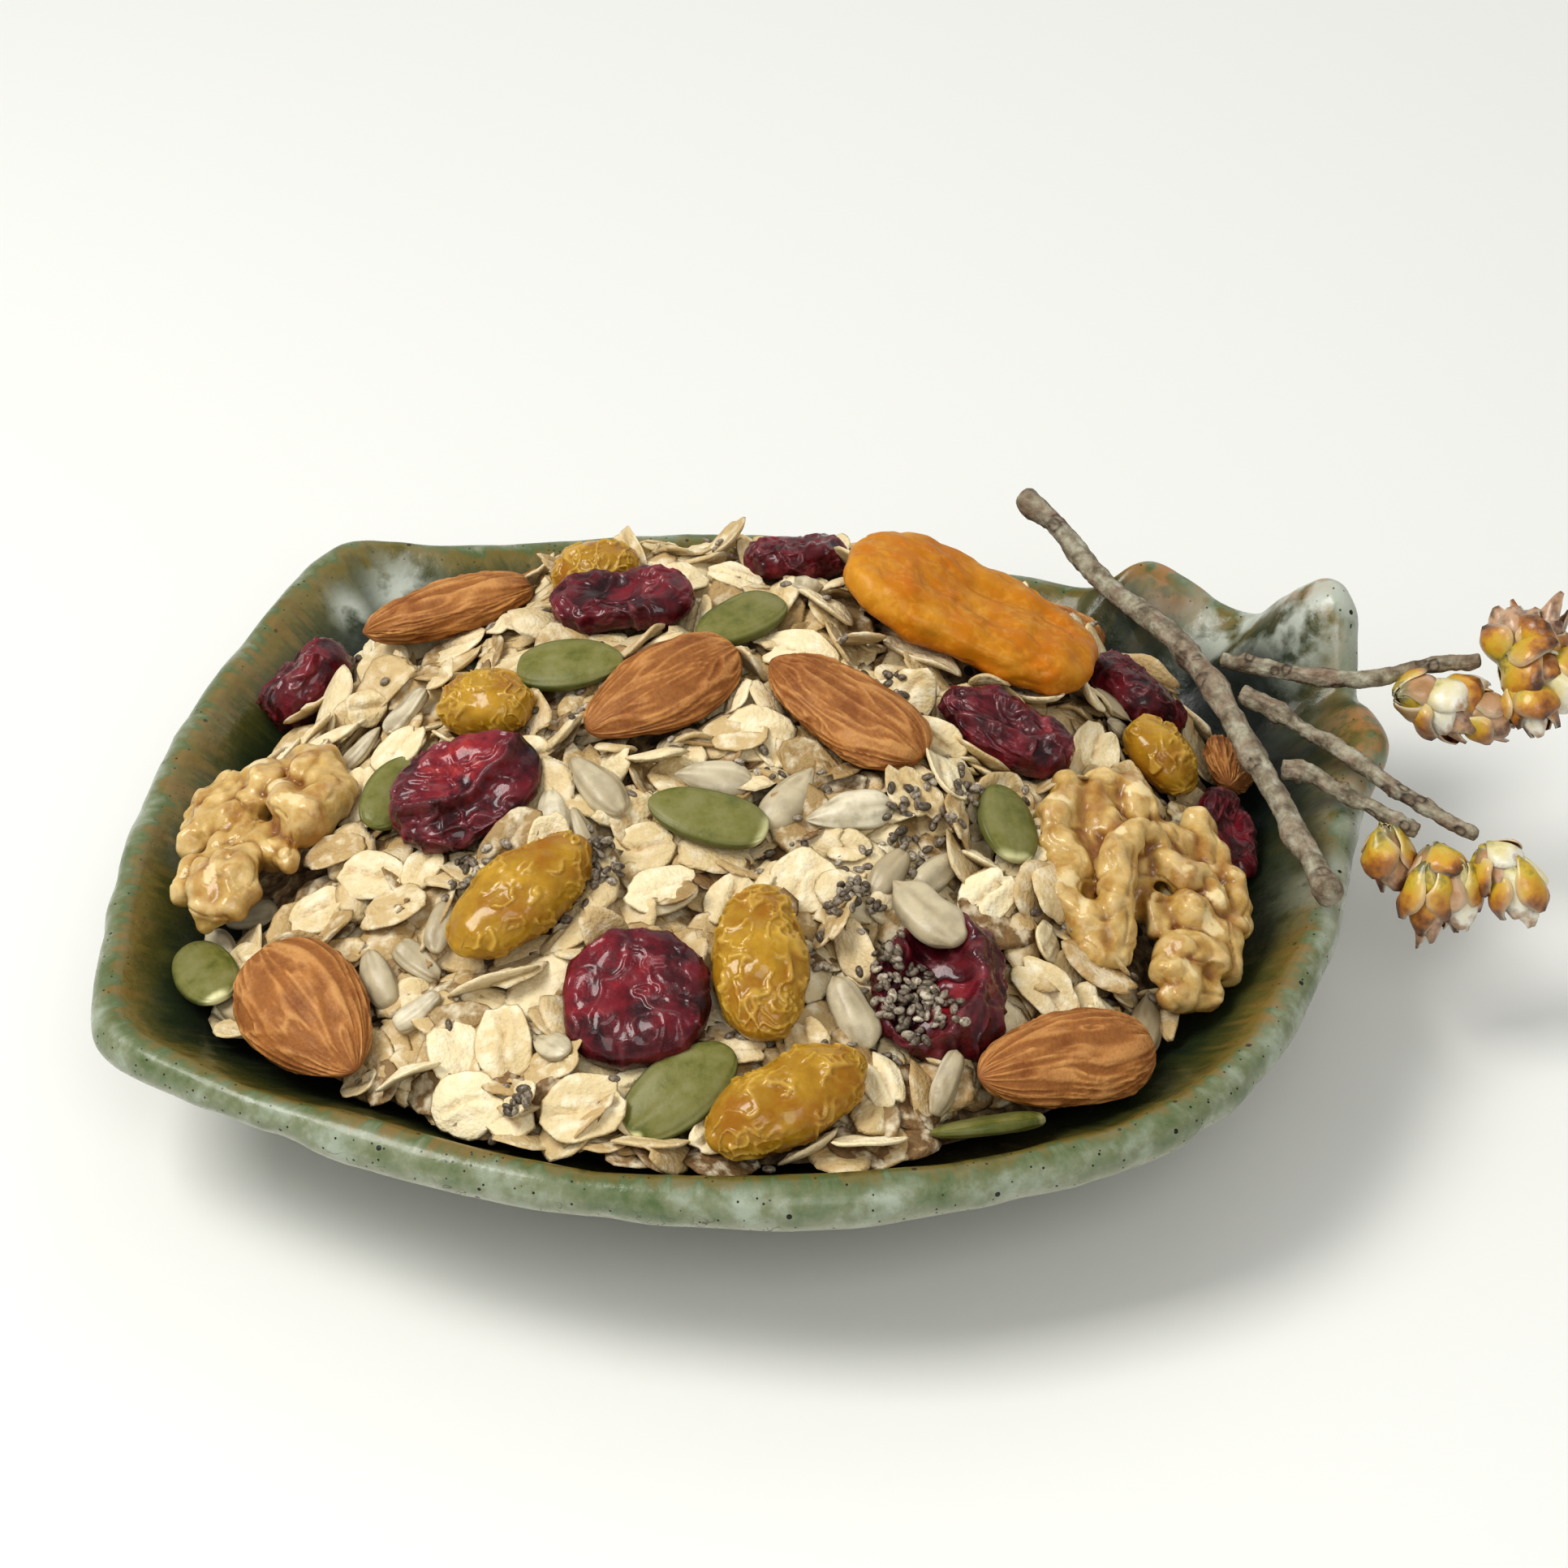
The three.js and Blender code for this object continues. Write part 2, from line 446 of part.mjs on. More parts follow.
for (const [name, { route, start, end, sides, steps }] of Object.entries(TWIG)) {
  group.add(node("twig_" + name, stick(route, start, end, sides, steps), MATERIALS.bark));
}
for (const [name, buds] of Object.entries(BUDS)) {
  group.add(node("twig_" + name, budCluster(buds), MATERIALS.bud));
}

export default group;
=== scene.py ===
"""A hand-made glazed dish heaped with trail mix, and the budding twig laid across its lobed end.

Every surface is worked out in millimetres with numpy, in the frame's own axes, and becomes a mesh in metres.
"""

import logging
import math
from dataclasses import dataclass, field
from enum import Enum
from typing import Optional, Sequence, Union

import bpy
import numpy as np
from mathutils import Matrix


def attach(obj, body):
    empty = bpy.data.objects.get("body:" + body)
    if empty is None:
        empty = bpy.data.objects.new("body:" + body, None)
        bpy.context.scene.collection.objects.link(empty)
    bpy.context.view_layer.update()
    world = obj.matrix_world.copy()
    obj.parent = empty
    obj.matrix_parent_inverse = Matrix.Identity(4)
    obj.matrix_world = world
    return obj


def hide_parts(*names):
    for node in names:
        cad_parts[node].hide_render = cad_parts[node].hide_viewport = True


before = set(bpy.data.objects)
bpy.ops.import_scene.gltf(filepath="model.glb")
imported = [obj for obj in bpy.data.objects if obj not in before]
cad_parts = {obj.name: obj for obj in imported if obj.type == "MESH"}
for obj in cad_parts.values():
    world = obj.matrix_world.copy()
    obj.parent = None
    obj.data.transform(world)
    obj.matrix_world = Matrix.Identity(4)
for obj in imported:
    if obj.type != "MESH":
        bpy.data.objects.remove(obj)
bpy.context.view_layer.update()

LOG = logging.getLogger("trail_mix")
Array = np.ndarray
Colour = tuple[float, float, float]
Material = bpy.types.Material
Socket = bpy.types.NodeSocket
Items = bpy.types.bpy_prop_collection
Tree = bpy.types.NodeTree
Random = np.random.Generator
MM = 0.001
TURN = 2 * math.pi

# The dish's driving dimensions, in millimetres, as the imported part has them.
WALL = 5.6
RIM_HEIGHT = 30.0
FLOOR_HEIGHT = 7.0
FLAT_FLOOR = 0.32
WALL_CURVE = 1.7
FOOT_EDGE = 0.45
FOOT_RISE = 2.4
OVAL = (84.0, 72.0)
RIM = np.array([
    [87, 1, 30], [90, 10, 31], [92.5, 16, 33], [91.5, 23, 33], [90, 29, 32], [90, 38, 41], [88, 42.5, 42],
    [83, 47, 36], [79, 48.5, 31.5], [73, 52, 31], [66.5, 55.5, 34], [62, 57, 35.5], [58, 56.5, 33],
    [54, 57, 30.5], [42, 61, 30], [27, 67, 30], [12, 71, 30], [-2, 72.5, 30], [-15, 71.5, 30], [-45, 69, 30],
    [-58, 69, 31], [-63.5, 63, 30.5], [-73, 43, 30], [-81, 14, 30], [-84, -8, 30], [-84, -28, 30],
    [-82.5, -44, 30], [-75, -51, 30], [-51, -65, 30], [-20, -76, 30], [11, -78.4, 30], [41, -72, 30],
    [57, -64, 30], [69, -51, 30], [82, -22, 30],
])

# The heap's: where it is highest, how it bulges, and how far up the wall it reaches at each angle in degrees.
HEAP_CENTRE = np.array([2.0, 24.0])
HEAP_HEIGHT = 53.0
HEAP_BULGE = (2.3, 1.55)
HEAP_UNEVEN = 0.7
HEAP_EDGE = np.array([
    [0, 0.83], [20, 0.83], [40, 0.86], [60, 0.93], [90, 0.945], [112, 0.92], [132, 0.81], [150, 0.89],
    [180, 0.905], [205, 0.895], [225, 0.93], [250, 0.955], [290, 0.955], [310, 0.91], [335, 0.85],
    [360, 0.83],
])


# ------------------------------------------------------------------------------------------ noise and curves
def lattice(cells: Array, seed: int) -> Array:
    """Gives every whole-number cell a value of its own, by an integer hash of its indices and the seed.

    Args:
        cells: Whole numbers, (..., 3).
        seed: Which of the many fields of values.

    Returns:
        Values from -1 to 1, (...).
    """
    mixed = cells[..., 0] * 374761393 + cells[..., 1] * 668265263 + cells[..., 2] * 1440662683 + seed * 974711
    mixed = mixed & 0xFFFFFFFF
    mixed = ((mixed ^ (mixed >> 13)) * 1274126177) & 0xFFFFFFFF
    mixed = mixed ^ (mixed >> 16)
    return (mixed & 0xFFFFFF) / 0x7FFFFF - 1.0


def noise(points: Array, size: Union[float, Sequence[float]], seed: int, octaves: int = 1) -> Array:
    """Smooth noise: a cell's eight corner values blended by 3t^2 - 2t^3, each octave at half the size.

    Args:
        points: Positions in millimetres, (..., 3).
        size: The size of its features in millimetres, one for all axes or one for each.
        seed: Which of the many noises.
        octaves: How many finer noises are added.

    Returns:
        Values from about -1 to 1, (...).
    """
    total = np.zeros(points.shape[:-1])
    weight, weights = 1.0, 0.0
    for octave in range(octaves):
        place = points / np.asarray(size) * 2**octave + 17.3 * octave
        cell = np.floor(place).astype(np.int64)
        part = place - cell
        part = part * part * (3 - 2 * part)
        for corner in np.ndindex(2, 2, 2):
            share = np.prod(np.where(np.array(corner, bool), part, 1 - part), axis=-1)
            total += weight * share * lattice(cell + np.array(corner), seed + 101 * octave)
        weights += weight
        weight *= 0.5
    return 1.4 * total / weights


def ridges(points: Array, size: Union[float, Sequence[float]], seed: int, width: float = 0.35) -> Array:
    """Thin winding lines, one where a noise passes through zero: exp(-(noise / width)^2).

    Args:
        points: Positions in millimetres, (..., 3).
        size: The size of the noise's features in millimetres.
        seed: Which of the many noises.
        width: How wide the lines are, against the noise's own range.

    Returns:
        1 on a line, falling to 0 beside it, (...).
    """
    return np.exp(-(noise(points, size, seed) / width) ** 2)


def smoothstep(low: float, high: float, value: Array) -> Array:
    """Rises from 0 at low to 1 at high as 3t^2 - 2t^3."""
    part = np.clip((value - low) / (high - low), 0, 1)
    return part * part * (3 - 2 * part)


def bell(value: Array, width: float) -> Array:
    """1 at zero, falling away as exp(-(value / width)^2)."""
    return np.exp(-(value / width) ** 2)


def closed_curve(knots: Array, steps: int) -> Array:
    """A smooth closed curve through the knots: centripetal Catmull-Rom, each piece a cubic Hermite curve.

    Args:
        knots: The points it passes through, (n, 3).
        steps: Stations from one knot to the next.

    Returns:
        The stations, (n * steps, 3).
    """
    before, start, end, after = (np.roll(knots, shift, axis=0) for shift in (1, 0, -1, -2))
    gaps = [np.sqrt(np.linalg.norm(b - a, axis=1, keepdims=True)) for a, b in
            ((before, start), (start, end), (end, after))]
    leave = ((start - before) / gaps[0] - (end - before) / (gaps[0] + gaps[1]) + (end - start)
             / gaps[1]) * gaps[1]
    arrive = ((end - start) / gaps[1] - (after - start) / (gaps[1] + gaps[2]) + (after - end)
              / gaps[2]) * gaps[1]
    t = np.arange(steps)[None, :, None] / steps
    start, end, leave, arrive = (part[:, None, :] for part in (start, end, leave, arrive))
    curve = ((2 * t**3 - 3 * t**2 + 1) * start + (t**3 - 2 * t**2 + t) * leave
             + (3 * t**2 - 2 * t**3) * end + (t**3 - t**2) * arrive)
    return curve.reshape(-1, 3)


def open_curve(knots: Array, steps: int) -> Array:
    """A smooth open curve through the knots, with stations at even distances along it.

    Args:
        knots: The points it passes through, (n, 3).
        steps: The number of stations.

    Returns:
        The stations, (steps, 3).
    """
    ends = np.vstack([2 * knots[0] - knots[1], knots, 2 * knots[-1] - knots[-2]])
    fine = closed_curve(ends, 16)[16:-2 * 16 + 1]
    along = np.concatenate([[0], np.cumsum(np.linalg.norm(np.diff(fine, axis=0), axis=1))])
    even = np.linspace(0, along[-1], steps)
    return np.stack([np.interp(even, along, fine[:, axis]) for axis in range(3)], axis=1)


# ------------------------------------------------------------------------------------------ shells
@dataclass
class Shell:
    """Points in millimetres with their faces, and named marks that hold one number for each point."""

    points: Array
    quads: Array
    tris: Array
    marks: dict[str, Array] = field(default_factory=dict)

    def moved(self, axes: Array, place: Array) -> "Shell":
        """The same shell with its x, y and z along the rows of axes, and its origin at place."""
        return Shell(self.points @ axes + place, self.quads, self.tris, self.marks)

    def tinted(self, points: Array, change: float) -> "Shell":
        """The same faces through other points, with the tint changed and held from 0 to 1."""
        tint = np.clip(self.marks["tint"] + change, 0, 1)
        return Shell(points, self.quads, self.tris, {**self.marks, "tint": tint})

    @staticmethod
    def joined(shells: Sequence["Shell"]) -> "Shell":
        """All the shells as one, with their faces renumbered.

        Args:
            shells: The shells, all with the same marks.

        Returns:
            The joined shell.
        """
        starts = np.cumsum([0] + [len(shell.points) for shell in shells[:-1]])
        return Shell(
            np.concatenate([shell.points for shell in shells]),
            np.concatenate([shell.quads + start for shell, start in zip(shells, starts)]),
            np.concatenate([shell.tris + start for shell, start in zip(shells, starts)]),
            {name: np.concatenate([shell.marks[name] for shell in shells]) for name in shells[0].marks},
        )


def shell_of_rings(rings: Array, marks: Optional[dict[str, Array]] = None) -> Shell:
    """A closed shell through rings of points, where each end ring shrinks to its mean point.

    A ring runs anticlockwise about the way from the first ring to the last, so the faces point outwards.

    Args:
        rings: Points, (rings, round, 3).
        marks: Numbers for each point, (rings, round).

    Returns:
        The shell.
    """
    count, around = rings.shape[:2]
    inner = np.arange((count - 2) * around).reshape(count - 2, around)
    beside = np.roll(inner, -1, axis=1)
    quads = np.stack([inner[:-1], beside[:-1], beside[1:], inner[1:]], axis=-1).reshape(-1, 4)
    first, last = inner.size, inner.size + 1
    start_fan = np.stack([np.full(around, first), beside[0], inner[0]], axis=-1)
    end_fan = np.stack([inner[-1], beside[-1], np.full(around, last)], axis=-1)

    def flat(grid: Array) -> Array:
        """The inner rings in one list, then the two end points."""
        return np.concatenate([grid[1:-1].reshape(-1, *grid.shape[2:]), grid[:1].mean(1), grid[-1:].mean(1)])

    return Shell(flat(rings), quads, np.concatenate([start_fan, end_fan]),
                 {name: flat(values) for name, values in (marks or {}).items()})


def ring_normals(rings: Array) -> Array:
    """The outward directions of a shell of rings: the way round crossed with the way along.

    Args:
        rings: Points, (rings, round, 3).

    Returns:
        A direction of length 1 for each point, (rings, round, 3).
    """
    around = np.roll(rings, -1, axis=1) - np.roll(rings, 1, axis=1)
    along = np.gradient(rings, axis=0)
    out = np.cross(around, along)
    out /= np.linalg.norm(out, axis=2, keepdims=True) + 1e-12
    for end, beside in ((0, 1), (-1, -2)):
        mean = out[beside].mean(0)
        out[end] = mean / (np.linalg.norm(mean) + 1e-12)
    return out


def raised(rings: Array, height: Array) -> Array:
    """The rings moved outwards by height, in millimetres."""
    return rings + ring_normals(rings) * height[..., None]


def make_piece(name: str, shell: Shell, material: Material, nodes: Sequence[str] = ()) -> None:
    """Makes a shell into a smooth mesh piece of the object, which rides on the frame.

    Args:
        name: The piece's name.
        shell: Its surface, in millimetres.
        material: Its finish.
        nodes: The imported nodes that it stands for.
    """
    mesh = bpy.data.meshes.new(name)
    faces = len(shell.quads) + len(shell.tris)
    corners = np.concatenate([shell.quads.ravel(), shell.tris.ravel()]).astype(np.int32)
    totals = np.repeat([4, 3], [len(shell.quads), len(shell.tris)]).astype(np.int32)
    mesh.vertices.add(len(shell.points))
    mesh.vertices.foreach_set("co", (shell.points * MM).astype(np.float32).ravel())
    mesh.loops.add(len(corners))
    mesh.loops.foreach_set("vertex_index", corners)
    mesh.polygons.add(faces)
    mesh.polygons.foreach_set("loop_start", (np.cumsum(totals) - totals).astype(np.int32))
    mesh.polygons.foreach_set("loop_total", totals)
    mesh.polygons.foreach_set("use_smooth", np.ones(faces, bool))
    mesh.update(calc_edges=True)
    for mark, values in shell.marks.items():
        mesh.attributes.new(mark, "FLOAT", "POINT").data.foreach_set("value", values.astype(np.float32))
    mesh.materials.append(material)
    piece = bpy.data.objects.new(name, mesh)
    bpy.context.scene.collection.objects.link(piece)
    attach(piece, "root")
    if nodes:
        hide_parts(*nodes)
    LOG.info("%s: %d points, %d faces", name, len(shell.points), faces)


# ------------------------------------------------------------------------------------------ materials
Value = Union[float, str, Colour, Socket]


def per(size: float) -> float:
    """The texture scale for features of that size in millimetres."""
    return 1 / (size * MM)


class Graph:
    """Places nodes in one tree and links them."""

    def __init__(self, tree: Tree) -> None:
        """Starts with the tree as it is."""
        self.tree = tree

    def add(self, kind: str, inputs: Optional[dict[Union[str, int], Value]] = None,
            **settings: object) -> bpy.types.Node:
        """Adds a node.

        Args:
            kind: The node's type, without the word ShaderNode.
            inputs: For each input, by name or place, a socket to link, a mark's name, or a value to set.
            settings: The node's own settings.

        Returns:
            The node.
        """
        node = self.tree.nodes.new("ShaderNode" + kind)
        for name, value in settings.items():
            setattr(node, name, value)
        for name, value in (inputs or {}).items():
            if isinstance(value, str):
                value = self.mark(value)
            if isinstance(value, Socket):
                self.tree.links.new(value, node.inputs[name])
            else:
                node.inputs[name].default_value = (*value, 1.0) if isinstance(value, tuple) else value
        return node

    def mark(self, name: str) -> Socket:
        """The piece's own mark of that name."""
        return self.add("Attribute", attribute_name=name).outputs["Fac"]

    def place(self) -> Socket:
        """Object coordinates."""
        return self.add("TexCoord").outputs["Object"]

    def cloud(self, size: float, detail: float = 2.0, vector: Optional[Socket] = None,
              distortion: float = 0.0) -> Socket:
        """Noise with features of that size in millimetres, from 0 to 1.

        Args:
            size: The size of the features.
            detail: How many finer layers it has.
            vector: Where it is read, or None for the place on the piece.
            distortion: How far it is bent.

        Returns:
            The noise.
        """
        inputs = {"Vector": vector or self.place(), "Scale": per(size), "Detail": detail,
                  "Distortion": distortion}
        return self.add("TexNoise", inputs).outputs["Fac"]

    def math(self, operation: str, first: Value, second: Value = 0.0) -> Socket:
        """One operation on two values."""
        return self.add("Math", {0: first, 1: second}, operation=operation).outputs[0]

    def times(self, first: Value, second: Value) -> Socket:
        """The product of two values."""
        return self.math("MULTIPLY", first, second)

    def plus(self, first: Value, second: Value) -> Socket:
        """The sum of two values."""
        return self.math("ADD", first, second)

    def patches(self, size: float, detail: float, low: float, high: float, *to: float) -> Socket:
        """A cloud fitted from low and high to the range given, or to 0 and 1."""
        return self.fit(self.cloud(size, detail), low, high, *to)

    def fit(self, value: Value, low: float, high: float, to_low: float = 0.0,
            to_high: float = 1.0) -> Socket:
        """The value moved from one range to another, and held inside it."""
        inputs = {"Value": value, "From Min": low, "From Max": high, "To Min": to_low, "To Max": to_high}
        return self.add("MapRange", inputs).outputs["Result"]

    def mix(self, share: Value, first: Value, second: Value, blend: str = "MIX") -> Socket:
        """Two colours mixed by a share."""
        inputs = {0: share, 6: first, 7: second}
        return self.add("Mix", inputs, data_type="RGBA", blend_type=blend).outputs[2]

    def ramp(self, value: Socket, stops: Sequence[tuple[float, Colour]]) -> Socket:
        """A colour that passes through the stops, each a place from 0 to 1 and a colour.

        Args:
            value: What runs along the ramp.
            stops: Places from 0 to 1 and their colours.

        Returns:
            The colour.
        """
        node = self.add("ValToRGB", {"Fac": value})
        elements = node.color_ramp.elements
        while len(elements) < len(stops):
            elements.new(0.5)
        for element, (place, colour) in zip(elements, stops):
            element.position = place
            element.color = (*colour, 1.0)
        return node.outputs["Color"]


def new_group(name: str, inputs: dict[str, str], output: str, kind: str) -> tuple[Graph, Items, Socket]:
    """Makes a shader node group with one output.

    Args:
        name: The group's name.
        inputs: The type of each input socket, by its name.
        output: The output socket's name.
        kind: The output socket's type.

    Returns:
        A graph to fill it, the sockets of its inputs, and the socket that its result is linked to.
    """
    tree = bpy.data.node_groups.new(name, "ShaderNodeTree")
    for socket, socket_kind in inputs.items():
        tree.interface.new_socket(socket, in_out="INPUT", socket_type="NodeSocket" + socket_kind)
    tree.interface.new_socket(output, in_out="OUTPUT", socket_type="NodeSocket" + kind)
    return (Graph(tree), tree.nodes.new("NodeGroupInput").outputs,
            tree.nodes.new("NodeGroupOutput").inputs[output])


class Effects:
    """The node groups that several finishes share, each built once."""

    def __init__(self) -> None:
        """Builds the groups."""
        self.mottle = self._mottle()
        self.specks = self._specks()
        self.grain = self._grain()

    @staticmethod
    def _mottle() -> Tree:
        """A colour that wanders from Low through Middle to High in soft blotches, with finer ones inside.

        Returns:
            The group.
        """
        sockets = {"Scale": "Float", "Low": "Color", "Middle": "Color", "High": "Color", "Shift": "Float"}
        graph, source, end = new_group("Mottle", sockets, "Color", "Color")
        inputs = {"Vector": graph.place(), "Scale": source["Scale"], "Detail": 5.0, "Roughness": 0.62}
        level = graph.plus(graph.add("TexNoise", inputs).outputs["Fac"], source["Shift"])
        low = graph.mix(graph.fit(level, 0.36, 0.5), source["Low"], source["Middle"])
        graph.tree.links.new(graph.mix(graph.fit(level, 0.5, 0.66), low, source["High"]), end)
        return graph.tree

    @staticmethod
    def _specks() -> Tree:
        """A mask of small round specks, some cells left empty.

        Returns:
            The group.
        """
        sockets = {"Scale": "Float", "Size": "Float", "Share": "Float"}
        graph, source, end = new_group("Specks", sockets, "Mask", "Float")
        cells = graph.add("TexVoronoi", {"Vector": graph.place(), "Scale": source["Scale"]})
        inside = graph.math("LESS_THAN", cells.outputs["Distance"], source["Size"])
        own = graph.add("SeparateColor", {0: cells.outputs["Color"]}).outputs[0]
        graph.tree.links.new(graph.times(inside, graph.math("LESS_THAN", own, source["Share"])), end)
        return graph.tree

    @staticmethod
    def _grain() -> Tree:
        """A surface normal roughened by fine noise, by as much as Strength says.

        Returns:
            The group.
        """
        graph, source, end = new_group("Grain", {"Scale": "Float", "Strength": "Float"}, "Normal", "Vector")
        fine = graph.add("TexNoise", {"Vector": graph.place(), "Scale": source["Scale"], "Detail": 4.0})
        inputs = {"Strength": source["Strength"], "Distance": 0.4 * MM, "Height": fine.outputs["Fac"]}
        graph.tree.links.new(graph.add("Bump", inputs).outputs["Normal"], end)
        return graph.tree


@dataclass(frozen=True)
class Gloss:
    """The even values of a finish: how rough, how coated, and how far light travels in it."""

    roughness: float = 0.5
    coat: float = 0.0
    coat_roughness: float = 0.1
    specular: float = 0.5
    depth: float = 0.0
    radius: Colour = (1.0, 0.5, 0.25)
    reach: float = 2.0


class Surface(Graph):
    """A material in the making: its nodes, the shared effects and its Principled BSDF."""

    def __init__(self, name: str, gloss: Gloss, effects: Optional[Effects] = None) -> None:
        """Makes the material and sets its even values.

        Args:
            name: The material's name.
            gloss: Its even values.
            effects: The shared node groups, where it uses them.
        """
        self.material = bpy.data.materials.new(name)
        self.material.use_nodes = True
        self.effects = effects
        super().__init__(self.material.node_tree)
        self.inputs = self.tree.nodes["Principled BSDF"].inputs
        values = {
            "Roughness": gloss.roughness, "Coat Weight": gloss.coat, "Coat Roughness": gloss.coat_roughness,
            "Specular IOR Level": gloss.specular, "Subsurface Weight": gloss.depth,
            "Subsurface Radius": gloss.radius, "Subsurface Scale": gloss.reach * MM,
        }
        for socket, value in values.items():
            self.inputs[socket].default_value = value

    def mottle(self, size: float, low: Colour, middle: Colour, high: Colour, shift: float = 0.0) -> Socket:
        """Three colours in soft blotches of that size in millimetres."""
        inputs = {"Scale": per(size), "Low": low, "Middle": middle, "High": high, "Shift": shift}
        return self.add("Group", inputs, node_tree=self.effects.mottle).outputs["Color"]

    def specks(self, size: float, radius: float, share: float) -> Socket:
        """A mask of specks: their cells' size in millimetres, their radius in it, and the share kept."""
        inputs = {"Scale": per(size), "Size": radius, "Share": share}
        return self.add("Group", inputs, node_tree=self.effects.specks).outputs["Mask"]

    def done(self, colour: Socket, grain: Optional[tuple[float, float]] = None,
             shine: Optional[Socket] = None) -> Material:
        """Links what varies over the surface to the shader.

        Args:
            colour: The base colour.
            grain: The size in millimetres and the strength of its fine grain, where it has one.
            shine: The roughness, where it varies.

        Returns:
            The material.
        """
        self.tree.links.new(colour, self.inputs["Base Color"])
        if grain is not None:
            inputs = {"Scale": per(grain[0]), "Strength": grain[1]}
            rough = self.add("Group", inputs, node_tree=self.effects.grain)
            self.tree.links.new(rough.outputs["Normal"], self.inputs["Normal"])
        if shine is not None:
            self.tree.links.new(shine, self.inputs["Roughness"])
        return self.material


# ------------------------------------------------------------------------------------------ the dish
class DishForm:
    """The dish's section at each station of its rim, and the heap that fills it."""

    def __init__(self, steps: int) -> None:
        """Works out the rim.

        Args:
            steps: Stations from one rim knot to the next.
        """
        self.rim = closed_curve(RIM, steps)
        self.angle = np.arctan2(self.rim[:, 1], self.rim[:, 0])
        even = 1 / np.hypot(np.cos(self.angle) / OVAL[0], np.sin(self.angle) / OVAL[1])
        self.even = even
        self.lip = np.hypot(self.rim[:, 0], self.rim[:, 1]) - 0.45 * WALL

    def middle(self, share: Array) -> tuple[Array, Array]:
        """Radius and height of the wall's middle.

        The radius runs from an even oval to the rim's outline over the outer half. The height rises as the
        share past the flat floor to the power of WALL_CURVE.

        Args:
            share: Shares of the way out, (..., 1) or (...) that match the stations.

        Returns:
            The radius and the height at each station.
        """
        outline = self.even + (self.lip - self.even) * smoothstep(0.5, 1, share)
        turn = (np.maximum(share - FLAT_FLOOR, 0) / (1 - FLAT_FLOOR)) ** WALL_CURVE
        lobe = (self.rim[:, 2] - RIM_HEIGHT) * smoothstep(0.82, 1, share)
        height = FLOOR_HEIGHT - WALL / 2 + (RIM_HEIGHT - FLOOR_HEIGHT) * turn + lobe
        return share * outline, height + 0 * outline

    def wall(self, share: Array, distance: float, turn: Array = np.array(math.pi / 2)) -> Array:
        """Points at a distance from the wall's middle, where a quarter turn swings to the inside.

        Args:
            share: Shares of the way out.
            distance: Millimetres from the middle, negative for outside.
            turn: Angle from the way out along the middle, in radians.

        Returns:
            The points.
        """
        radius, height = self.middle(share)
        near, low = self.middle(share - 0.01)
        slope = np.arctan2(height - low, radius - near) + turn
        out = radius + distance * np.cos(slope)
        angle = self.angle + 0 * out
        return np.stack([out * np.cos(angle), out * np.sin(angle), height + distance * np.sin(slope)],
                        axis=-1)

    def heap_edge(self, gap: float) -> Array:
        """Where the heap meets the wall at each station, at a gap from it."""
        degrees = np.degrees(np.mod(self.angle, TURN))
        return self.wall(np.interp(degrees, HEAP_EDGE[:, 0], HEAP_EDGE[:, 1]), WALL / 2 + gap)


